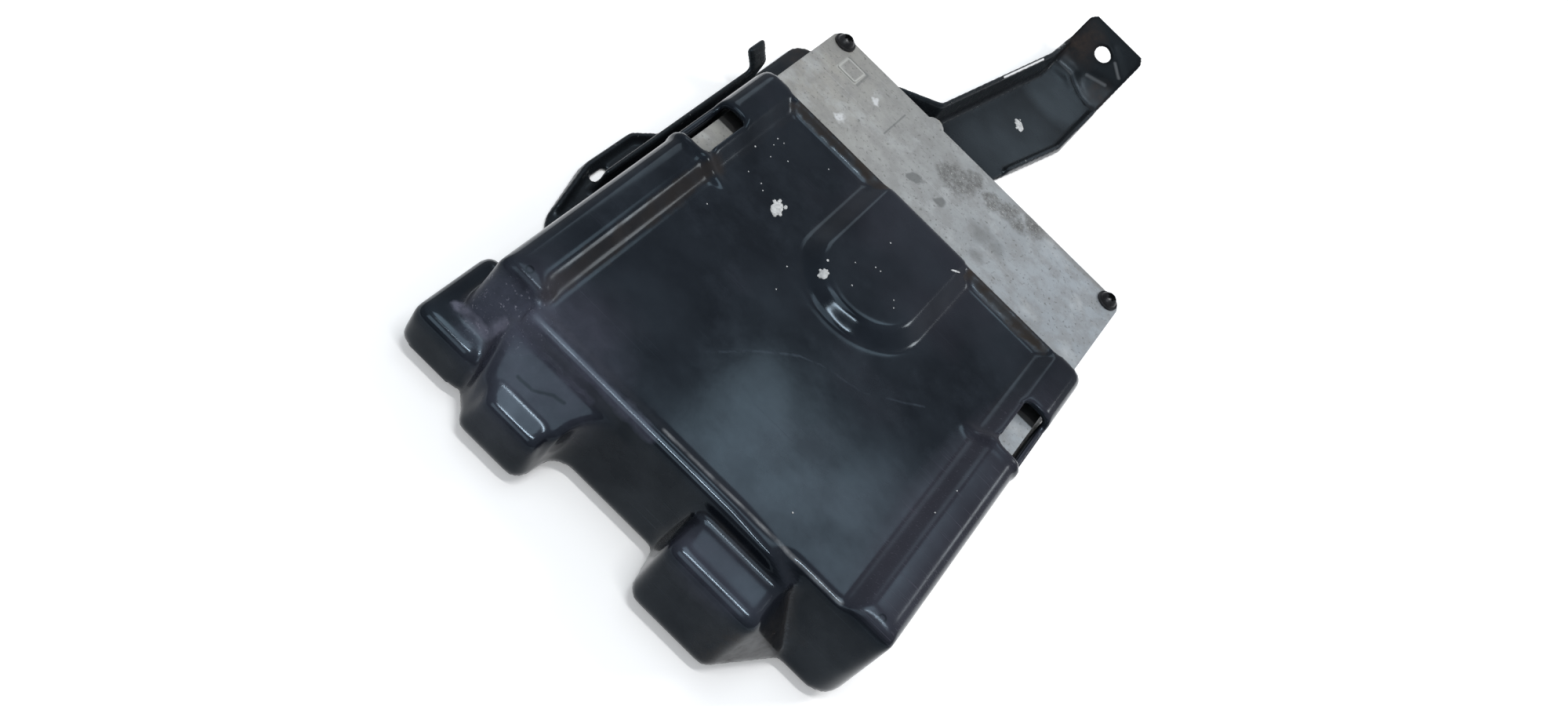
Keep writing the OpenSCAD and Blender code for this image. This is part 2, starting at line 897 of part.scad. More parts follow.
module capacitors() {
  half = can_foot[0] / 2;
  color([0.20, 0.21, 0.25])
    for (i = [0:2])
      on_board(can_x, can_y + i * can_pitch) {
        block(-half, half, -half, half, 0, can_foot[1]);
        rod(0, 0, can_foot[1], can_h, can_d);
      }
}

module coil() {
  color([0.30, 0.28, 0.26])
    on_board(can_x + can_foot[0] / 2 + coil_d / 2 + 3, can_y + can_pitch)
      difference() {
        rod(0, 0, 0, coil_h, coil_d);
        rod(0, 0, coil_h - 1.5, coil_h + cut, coil_d / 2);
      }
}

module crystal() {
  color([0.72, 0.73, 0.74])
    on_board(28, case_y0 + 50)
      plate(0, 3.6, rectangle(-5.5, 5.5, -2.3, 2.3, 2.2));
}

module pressure_sensor() {
  color([0.18, 0.18, 0.19])
    on_board(-10, case_y1 - 20)
      union() {
        block(-5, 5, -5, 5, 0, 3);
        rod(0, 0, 2.5, 6, 6);
      }
}

module board_screws() {
  head = 2;
  color([0.70, 0.70, 0.68])
    at_board_posts() {
      rod(0, 0, board_z - head, board_z, board_screw_d + 3);
      rod(0, 0, board_z - head / 2, board_top + 8, board_screw_d);
    }
}

// Bracket

side_x = case_x + bracket_side;
rear_y = case_y1 + bracket_rear;
bend_y = case_y1 + arm_reach;
tab_rise = tab_l * sin(tab_tilt);
tip_y = bend_y + tab_l * cos(tab_tilt);
arm_mid = 3;
arm_x0 = arm_mid - arm_w / 2;
arm_x1 = arm_mid + arm_w / 2;
root_y = rear_y + 14;
root_x0 = arm_x0 - 15.5;
root_x1 = arm_x0 + 18;
ear_y = case_mid - 24;
ear_out = 8.5;
plate_x1 = case_x - 9.5;
plate_y0 = case_y0 + 15;

// Plan of the flat sheet: base, ear on the left, and the arm with its tab
bracket_plan = [
  [plate_x1, plate_y0, 8],
  [plate_x1, case_y1 - 8, 12],
  [root_x1 - 2, rear_y - 4, 14],
  [root_x1 + 2, root_y + 10, 0],
  [arm_x1 - 0.5, bend_y - 44, 20],
  [arm_x1, tip_y, 3],
  [arm_x0, tip_y, 3],
  [arm_x0 + 0.5, bend_y - 14, 30],
  [root_x0, root_y, 8],
  [root_x0 - 18, rear_y, 6],
  [-side_x, rear_y, 11],
  [-side_x, ear_y + 38, 3],
  [-side_x - ear_out, ear_y + 25, 8],
  [-side_x - ear_out, ear_y - 2, 14],
  [-side_x - 2, ear_y - 27, 6],
  [-side_x + 10, plate_y0, 8]
];

// Side view of the sheet: flat base and arm, bend and sloping tab
module sheet_side() {
  r0 = tab_bend_r;
  r1 = r0 + bracket_t;
  y0 = bend_y - r1 * tan(tab_tilt / 2);
  far = [tip_y + cut, (tip_y + cut - bend_y) * tan(tab_tilt)];
  lift = bracket_t / cos(tab_tilt);
  polygon(rounded([
    [plate_y0 - cut, 0, 0],
    [bend_y, 0, r1],
    [far[0], far[1], 0],
    [far[0], far[1] + lift, 0],
    [bend_y - bracket_t * tan(tab_tilt / 2), bracket_t, r0],
    [y0 - cut, bracket_t, 0],
    [plate_y0 - cut, bracket_t, 0]
  ]));
}

// Section of a sheet edge folded up: flat foot, bend and upright leg
function fold(h, foot) =
  rounded([
    [-foot, 0, 0],
    [0, 0, flange_r + bracket_t],
    [0, h, 0],
    [-bracket_t, h, 0],
    [-bracket_t, bracket_t, flange_r],
    [-foot, bracket_t, 0]
  ]);

// Folded edge from p to q, upright leg on the right of the way
module fold_run(p, q, h) {
  way = q - p;
  foot = flange_r + bracket_t + cut;
  translate([p[0], p[1], 0])
    rotate([0, 0, atan2(way[1], way[0]) - 90])
      translate([0, norm(way), 0])
        rotate([90, 0, 0])
          linear_extrude(norm(way))
            polygon(fold(h, foot));
}

// Outline of an upright rim along several points, its thickness on the left of the way
function heading(p, q) = unit(q - p);
function left_of(v) = [-v[1], v[0]];
function ribbon(pts) =
  let (m = len(pts) - 1)
  let (inner = [for (i = [0:m])
    let (a = heading(pts[max(i - 1, 0)], pts[max(i, 1)]))
    let (b = heading(pts[min(i, m - 1)], pts[min(i + 1, m)]))
    pts[i] + bracket_t * (left_of(a) + left_of(b)) / (1 + a * b)])
  concat(pts, [for (i = [m:-1:0]) inner[i]]);

// Hook bent outwards from the rear end of the side flange
module hook(y0, y1) {
  reach = 5;
  rise = 7;
  along_y(y0, y1)
    polygon([
      [-side_x, flange_h - 2],
      [-side_x + bracket_t, flange_h - 2],
      [-side_x + bracket_t, flange_h + 0.8],
      [-side_x - reach + bracket_t, flange_h + rise],
      [-side_x - reach, flange_h + rise - bracket_t / 2],
      [-side_x, flange_h]
    ]);
}

hook_l = 10;
arm_rim = [
  [arm_x0, bend_y + 14],
  [arm_x0 - 0.3, bend_y - 14],
  [root_x0 + 0.3, root_y + 0.5],
  [root_x0 - 16, rear_y + 1.6]
];
ear_rim = [
  [-side_x - 0.5, ear_y + 37],
  [-side_x - ear_out + 0.6, ear_y + 24.5],
  [-side_x - ear_out + 0.4, ear_y],
  [-side_x - 2.5, ear_y - 24]
];
arm_edge = [
  [root_x1 + 3.3, root_y + 16],
  [arm_x1 - 1, bend_y - 45],
  [arm_x1 - 0.3, bend_y - 5]
];
flange_y0 = case_mid - 31;
flange_y1 = case_y1 - 28;

// Side view of the arm's rim, which runs out on the sloping tab
module rim_side() {
  y0 = rear_y - 10;
  y1 = bend_y + 14;
  foot = (y1 - bend_y) * tan(tab_tilt);
  polygon([
    [y0, 0],
    [bend_y, 0],
    [y1, foot],
    [y1, foot + bracket_t],
    [bend_y - 10.5, arm_rim_h],
    [y0, arm_rim_h]
  ]);
}

module bracket() {
  color([0.07, 0.07, 0.08])
    difference() {
      union() {
        intersection() {
          along_x(-2 * side_x, 2 * side_x)
            sheet_side();
          plate(-cut, tab_rise + 10 * bracket_t, rounded(bracket_plan));
        }
        fold_run([-side_x, flange_y1 + hook_l], [-side_x, flange_y0], flange_h);
        hook(flange_y1, flange_y1 + hook_l);
        intersection() {
          plate(0, arm_rim_h, ribbon(arm_rim));
          along_x(-side_x, side_x)
            rim_side();
        }
        plate(0, low_rim_h, ribbon(ear_rim));
        plate(0, low_rim_h, ribbon(arm_edge));
      }
      translate([arm_mid, bend_y, 0])
        rotate([tab_tilt, 0, 0])
          rod(0, tab_l - arm_hole_end, -10, 20, arm_hole_d);
      at_mount_screws()
        translate([0, 0, -cut])
          cylinder(h = bracket_t + 2 * cut, d = mount_screw_d + fit, $fn = round_fn);
      at_mount_screws()
        cylinder(h = bracket_t, d1 = 2 * mount_screw_d, d2 = mount_screw_d + fit, $fn = round_fn);
      plate(-cut, bracket_t + cut, rectangle(
        -side_x - 4, -side_x - 2, flange_y0 + 5, flange_y0 + 14, 0.9));
    }
}

module clinch_nuts() {
  color([0.72, 0.72, 0.70])
    at_mount_screws()
      difference() {
        rod(0, 0, case_z, case_z + board_lift - 1.2, 2 * mount_screw_d);
        rod(0, 0, case_z - cut, case_z + board_lift, mount_screw_d + thread_gap);
      }
}

// Flush screws from below, through the bracket into the nuts on the base plate
module bracket_screws() {
  gap = thread_gap;
  color([0.62, 0.63, 0.62])
    at_mount_screws()
      difference() {
        union() {
          cylinder(h = bracket_t, d1 = 2 * mount_screw_d - gap, d2 = mount_screw_d, $fn = round_fn);
          rod(0, 0, bracket_t / 2, case_z + board_lift - 1.5, mount_screw_d);
        }
        translate([0, 0, -cut])
          cylinder(h = cut + bracket_t / 2, d = mount_screw_d * 0.6, $fn = 6);
      }
}

protective_cover();
case();
base_plate();
base_seal();
case_screws();
vent_plug();
circuit_board();
plug_header();
header_seal();
left_pins();
right_pins();
microcontroller();
memory_chip();
driver_chips();
thermal_pads();
power_transistors();
capacitors();
coil();
crystal();
pressure_sensor();
board_screws();
bracket();
clinch_nuts();
bracket_screws();
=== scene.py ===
import math
import random

import bmesh
import bpy
import numpy as np
from mathutils import Matrix, Vector


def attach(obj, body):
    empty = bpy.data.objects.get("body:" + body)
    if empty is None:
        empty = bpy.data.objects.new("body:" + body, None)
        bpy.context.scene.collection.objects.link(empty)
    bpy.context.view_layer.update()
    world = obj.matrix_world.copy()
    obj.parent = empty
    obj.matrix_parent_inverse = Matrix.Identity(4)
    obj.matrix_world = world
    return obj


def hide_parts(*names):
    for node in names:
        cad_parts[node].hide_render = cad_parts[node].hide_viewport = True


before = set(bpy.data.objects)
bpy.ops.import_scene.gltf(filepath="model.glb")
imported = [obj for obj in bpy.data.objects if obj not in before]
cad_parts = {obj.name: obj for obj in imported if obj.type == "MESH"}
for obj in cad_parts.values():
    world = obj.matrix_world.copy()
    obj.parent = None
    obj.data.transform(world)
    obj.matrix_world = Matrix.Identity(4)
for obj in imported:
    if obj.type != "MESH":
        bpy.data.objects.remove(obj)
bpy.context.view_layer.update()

bl_info = {
    "name": "Engine control unit finishes",
    "version": (1, 0, 0),
    "blender": (4, 5, 0),
    "location": "3D View > Sidebar > Control unit",
    "description": "Dresses the packed control unit in its moulded, cast and pressed finishes",
    "category": "Object",
}

MM = 0.001
BODY = "root"
WELD = 0.001 * MM


class Finish:
    """A node material for one of the unit's surfaces, put together node by node."""

    # Numbers of the mix node's colour sockets, because its other kinds share their names
    mix_share, mix_under, mix_over, mix_result = 0, 6, 7, 2

    def __init__(self, name, **sockets):
        self.material = bpy.data.materials.new(name)
        self.material.use_nodes = True
        self.nodes = self.material.node_tree.nodes
        self.links = self.material.node_tree.links
        self.shader = self.nodes["Principled BSDF"]
        for socket, value in sockets.items():
            self.feed(socket.replace("_", " "), value)
        self.place = self.add("ShaderNodeTexCoord").outputs["Object"]

    def add(self, kind, **settings):
        node = self.nodes.new(kind)
        for name, value in settings.items():
            setattr(node, name, value)
        return node

    def put(self, value, socket):
        """A socket is linked to another node's output, or else takes a plain value."""
        if isinstance(value, bpy.types.NodeSocket):
            self.links.new(value, socket)
        elif socket.type == "RGBA" and len(value) == 3:
            socket.default_value = (*value, 1.0)
        else:
            socket.default_value = value

    def feed(self, socket, value):
        self.put(value, self.shader.inputs[socket])

    def noise(self, scale, detail, rough, vector=None):
        """The outputs of a cloudy noise; scale counts its patches in one metre."""
        node = self.add("ShaderNodeTexNoise")
        self.put(vector or self.place, node.inputs["Vector"])
        self.put(scale, node.inputs["Scale"])
        self.put(detail, node.inputs["Detail"])
        self.put(rough, node.inputs["Roughness"])
        return node.outputs

    def grain(self, scale, detail=3.0, rough=0.55):
        return self.noise(scale, detail, rough)["Fac"]

    def patches(self, scale, low, high, detail=3.0, rough=0.55, least=0.0):
        """Cloudy patches: least where the noise is under low, 1 where it is over high."""
        return self.level(self.grain(scale, detail, rough), low, high, least, 1.0)

    def level(self, value, low, high, to_low=0.0, to_high=1.0):
        """value stretched so that low and high become to_low and to_high."""
        node = self.add("ShaderNodeMapRange")
        for name, number in (
            ("Value", value),
            ("From Min", low),
            ("From Max", high),
            ("To Min", to_low),
            ("To Max", to_high),
        ):
            self.put(number, node.inputs[name])
        return node.outputs["Result"]

    def between(self, share, start, end):
        """A value that goes from start to end as a share goes from 0 to 1."""
        return self.level(share, 0.0, 1.0, start, end)

    def reckon(self, operation, first, second):
        node = self.add("ShaderNodeMath", operation=operation)
        self.put(first, node.inputs[0])
        self.put(second, node.inputs[1])
        return node.outputs[0]

    def times(self, *values):
        result = values[0]
        for value in values[1:]:
            result = self.reckon("MULTIPLY", result, value)
        return result

    def plus(self, *values):
        result = values[0]
        for value in values[1:]:
            result = self.reckon("ADD", result, value)
        return result

    def most(self, *values):
        result = values[0]
        for value in values[1:]:
            result = self.reckon("MAXIMUM", result, value)
        return result

    def vector(self, operation, first, second, output="Vector"):
        node = self.add("ShaderNodeVectorMath", operation=operation)
        self.put(first, node.inputs[0])
        self.put(second, node.inputs[1])
        return node.outputs[output]

    def colour(self, share, under, over):
        """One colour over another, by a share."""
        node = self.add("ShaderNodeMix", data_type="RGBA")
        self.put(share, node.inputs[self.mix_share])
        self.put(under, node.inputs[self.mix_under])
        self.put(over, node.inputs[self.mix_over])
        return node.outputs[self.mix_result]

    def layered(self, base, *layers):
        """Colours laid over a base one by one, each with its mask and the share of it."""
        for mask, share, tone in layers:
            base = self.colour(self.times(mask, share), base, tone)
        return base

    def warped(self, scale, amount):
        """The place on the part, pushed about by noise so that outlines become ragged."""
        random_way = self.noise(scale, 3.0, 0.5)["Color"]
        centred = self.vector("SUBTRACT", random_way, (0.5, 0.5, 0.5))
        push = self.vector("MULTIPLY", centred, (amount * MM,) * 3)
        return self.vector("ADD", self.place, push)

    def spot(self, centre, radius, soft, vector=None, stretch=(1, 1, 1)):
        """1 within radius of a place on the part, in millimetres, fading to 0 over soft."""
        off = self.vector("SUBTRACT", vector or self.place, [c * MM for c in centre])
        length = self.vector("LENGTH", self.vector("MULTIPLY", off, stretch), (0, 0, 0), "Value")
        return self.level(length, (radius + soft) * MM, radius * MM)

    def spots(self, places, vector):
        """Several spots as one, each given by its centre, radius and soft edge."""
        return self.most(*(self.spot(*place, vector) for place in places))

    def stroke(self, points, width, soft, vector=None):
        """1 along a line through places on the part, in millimetres, fading to 0 at its sides."""
        runs = []
        for start, end in zip(points, points[1:]):
            way = (Vector(end) - Vector(start)) * MM
            off = self.vector("SUBTRACT", vector or self.place, [c * MM for c in start])
            along = self.vector("DOT_PRODUCT", off, way / way.length_squared, "Value")
            foot = self.vector("MULTIPLY", self.level(along, 0.0, 1.0), way)
            away = self.vector("DISTANCE", off, foot, "Value")
            runs.append(self.level(away, (width / 2 + soft) * MM, width / 2 * MM))
        return self.most(*runs)

    def streaks(self, turn, along, across, low, high):
        """Fine straight scratches that run at an angle in the plane of the part."""
        node = self.add("ShaderNodeMapping")
        self.put(self.place, node.inputs["Vector"])
        self.put((0.0, 0.0, math.radians(turn)), node.inputs["Rotation"])
        self.put((along, across, across), node.inputs["Scale"])
        drawn = self.noise(1.0, 2.0, 0.5, node.outputs["Vector"])["Fac"]
        return self.level(drawn, low, high)

    def bend(self, low, high):
        """How strongly the surface is hollowed, or rounded outwards for negative values."""
        node = self.add("ShaderNodeAttribute", attribute_name="hollow")
        return self.level(node.outputs["Fac"], low, high)

    def part_of(self, vector, axis):
        """One axis of a vector."""
        split = self.add("ShaderNodeSeparateXYZ")
        self.put(vector, split.inputs[0])
        return split.outputs[axis]

    def facing(self, low, high):
        """1 where the surface faces up."""
        normal = self.add("ShaderNodeNewGeometry").outputs["True Normal"]
        return self.level(self.part_of(normal, "Z"), low, high)

    def bumps(self, height, depth, strength):
        node = self.add("ShaderNodeBump")
        self.put(strength, node.inputs["Strength"])
        self.put(depth * MM, node.inputs["Distance"])
        self.put(height, node.inputs["Height"])
        self.feed("Normal", node.outputs["Normal"])


class Net:
    """The points of an even mesh with their neighbours, to smooth them or move them."""

    # Smoothing passes that tell hollows from edges, and passes that blend the result
    bend_reach = 16
    bend_blend = 4

    def __init__(self, mesh):
        self.mesh = mesh
        self.points = self.read(mesh.vertices, "co")
        ends = np.empty(len(mesh.edges) * 2, np.int32)
        mesh.edges.foreach_get("vertices", ends)
        self.start, self.end = ends.reshape(-1, 2).T
        self.count = np.maximum(np.bincount(ends, minlength=len(self.points)), 1)[:, None]

    def read(self, items, name):
        values = np.empty(len(items) * 3, np.float32)
        items.foreach_get(name, values)
        return values.reshape(-1, 3).astype(float)

    def eased(self, values, passes):
        """Each value drawn half-way to the mean of its neighbours, several times."""
        size = len(values)
        for _ in range(passes):
            means = np.stack(
                [
                    np.bincount(self.start, column[self.end], size)
                    + np.bincount(self.end, column[self.start], size)
                    for column in values.T
                ],
                1,
            )
            values = values + 0.5 * (means / self.count - values)
        return values

    def write(self):
        self.mesh.vertices.foreach_set("co", self.points.astype(np.float32).ravel())
        self.mesh.update()

    def normals(self):
        return self.read(self.mesh.vertex_normals, "vector")

    def shade(self, passes):
        """Even shading, and an attribute that is positive in hollows and negative on edges."""
        normals = self.normals()
        sunk = ((self.eased(self.points, self.bend_reach) - self.points) * normals).sum(1) / MM
        sunk = self.eased(sunk[:, None], self.bend_blend)
        hollow = self.mesh.attributes.new("hollow", "FLOAT", "POINT")
        hollow.data.foreach_set("value", sunk.ravel().astype(np.float32))
        even = self.eased(normals, passes)
        even /= np.linalg.norm(even, axis=1)[:, None]
        self.mesh.polygons.foreach_set("use_smooth", np.ones(len(self.mesh.polygons), bool))
        self.mesh.normals_split_custom_set_from_vertices(even.tolist())


def colour_setting(name, words, default):
    return bpy.props.FloatVectorProperty(
        name=name, description=words, default=default, size=3, subtype="COLOR", min=0.0, max=1.0
    )


def length_setting(name, words, millimetres):
    return bpy.props.FloatProperty(
        name=name,
        description=words,
        default=millimetres * MM,
        min=0.0,
        unit="LENGTH",
        subtype="DISTANCE",
    )


def share_setting(name, words, default):
    return bpy.props.FloatProperty(
        name=name, description=words, default=default, min=0.0, max=1.0, subtype="FACTOR"
    )


def passes_setting(name, words, default):
    return bpy.props.IntProperty(name=name, description=words, default=default, min=0)


def angle_setting(name, words, degrees):
    return bpy.props.FloatProperty(
        name=name, description=words, default=math.radians(degrees), subtype="ANGLE"
    )


class CoverSettings(bpy.types.PropertyGroup):
    cell: length_setting("Mesh cell", "Cell of the cover's mesh", 0.95)
    rounding: passes_setting("Rounding", "Smoothing passes that round the moulded edges", 4)
    sheen: passes_setting("Sheen", "Smoothing passes for the cover's shading", 5)
    plastic: colour_setting("Plastic", "Colour of the moulded plastic", (0.0045, 0.0057, 0.0082))
    dust: colour_setting("Dust", "Colour of the thin dust film", (0.033, 0.041, 0.053))
    dirt: colour_setting("Dirt", "Colour of the dirt in the hollows", (0.045, 0.036, 0.029))
    gloss: share_setting("Roughness", "Roughness of the clean plastic", 0.1)


class CaseSettings(bpy.types.PropertyGroup):
    edge: length_setting("Edge", "Rounding of the casting's edges", 0.6)
    metal: colour_setting("Casting", "Colour of the cast alloy", (0.36, 0.36, 0.355))
    # Also the colour of the painted shade beside the blank mark
    stain_and_shade: colour_setting("Stain", "Colour of the dark stains", (0.13, 0.135, 0.135))


class BracketSettings(bpy.types.PropertyGroup):
    cell: length_setting("Mesh cell", "Cell of the bracket's mesh", 0.85)
    rounding: passes_setting("Rounding", "Smoothing passes that round the sheet's edges", 3)
    crease: length_setting("Crease", "Depth of the creases beside the bend", 1.3)
    paint: colour_setting("Paint", "Colour of the black paint", (0.006, 0.0068, 0.008))
    # Also the colour of the painted sheen on the arm's flat top
    dust: colour_setting("Dust", "Colour of the grey film on the arm", (0.036, 0.046, 0.054))
    rust: colour_setting("Rust tint", "Colour of the brown tint at the edges", (0.06, 0.04, 0.03))


class SpeckSettings(bpy.types.PropertyGroup):
    height: length_setting("Height", "Height of the paint specks", 0.22)
    paint: colour_setting("Paint", "Colour of the spattered paint", (0.66, 0.67, 0.67))


class StageSettings(bpy.types.PropertyGroup):
    lens: bpy.props.FloatProperty(
        name="Lens",
        description="Focal length of the camera",
        default=36.532,
        min=1.0,
        subtype="DISTANCE_CAMERA",
    )
    eye: bpy.props.FloatVectorProperty(
        name="Eye",
        description="Place of the camera",
        default=(0.00193, -0.34840, 0.35329),
        size=3,
        subtype="TRANSLATION",
        unit="LENGTH",
    )
    rise: angle_setting("Rise", "Angle of the camera above the floor", 43.722)
    swing: angle_setting("Swing", "Turn of the camera round the part", 0.74)
    roll: angle_setting("Roll", "Turn of the picture", 44.134)
    floor: colour_setting("Floor", "Colour of the floor", (0.88, 0.88, 0.88))


def copy_of(node, name):
    """A new object with a copy of a node's mesh, its split corners joined."""
    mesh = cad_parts[node].data.copy()
    mesh.name = name
    shape = bmesh.new()
    shape.from_mesh(mesh)
    bmesh.ops.remove_doubles(shape, verts=shape.verts, dist=WELD)
    shape.to_mesh(mesh)
    shape.free()
    mesh.materials.clear()
    piece = bpy.data.objects.new(name, mesh)
    bpy.context.scene.collection.objects.link(piece)
    return piece


def settle(piece):
    """The piece's modifiers become its mesh."""
    graph = bpy.context.evaluated_depsgraph_get()
    mesh = bpy.data.meshes.new_from_object(piece.evaluated_get(graph), depsgraph=graph)
    piece.modifiers.clear()
    old = piece.data
    piece.data = mesh
    mesh.name = piece.name
    bpy.data.meshes.remove(old)


def even_net(piece, cell):
    """The piece gets an even mesh of the same body."""
    grid = piece.modifiers.new("Even mesh", "REMESH")
    grid.mode = "VOXEL"
    grid.voxel_size = cell
    settle(piece)
    return Net(piece.data)


def dressed(piece, material, node=None):
    """The piece gets its finish, rides on the part and may stand for a node."""
    piece.data.materials.clear()
    piece.data.materials.append(material)
    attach(piece, BODY)
    if node:
        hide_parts(node)


# Places on the cover, in millimetres: lines, then spots with radius and soft edge, then centres
PANEL_SCRATCH = [
    (-17.8, -38.8, 36), (-9.2, -25, 36), (1.6, -13.2, 36),
    (10.8, -7.9, 36), (22, -5.1, 36), (39.1, 9.5, 36),
]
RAMP_DARK_LINE = [(-47.5, -82.3, 24.5), (-42.5, -82.5, 24.7), (-37.5, -80, 26.5), (-34, -79.5, 27)]
# Lines of dust along the ridge and the ramp's foot, whose colour also paints in their sheen
RIDGE_DUST_AND_SHEEN = [(-57, -74.4, 36.8), (-36, -74.4, 36.8), (-12, -74.6, 36.8)]
RAMP_DUST_AND_SHEEN = [(-57, -75.7, 30.4), (-30, -75.7, 30.6)]
CORNER_LIP = [(-74, -75.4, 20), (-68, -76, 20), (-62.5, -76.4, 20.5), (-60.5, -74.5, 26)]
REAR_GROOVES = [[(-56, 68.7, 37.6), (-18, 69.6, 38.4)], [(22, 68.8, 38), (57, 68.6, 37.5)]]
PANEL_FRONT = [(-10, -70.4, 36.4), (12, -70.2, 36.4), (36, -69.6, 36), (55, -69.2, 36)]
RAIL_GRIME = [(-57.9, -66, 37.8), (-57.9, 20, 37.8)]
CORNER_SCUFFS = [((-66, -73, 26.5), 7, 5.5), ((-57, -73, 31), 5, 5)]
HOOD_DIRT = [((47, -84, 12), 9, 8), ((44, -89, 18), 4, 6)]
EJECTOR_MARKS = [(-65.4, -66.2, 39.7), (65.7, -66.1, 39.7)]
LEFT_RAMP = (-47, -76, 29)
RIGHT_HOOD = (26, -86.5, 30.5)
RIGHT_RAIL = (68, -15, 40)
LEFT_RAIL_END = (-64, -67, 39.4)
PAD_NOSE = (2, 9.6, 37.8)


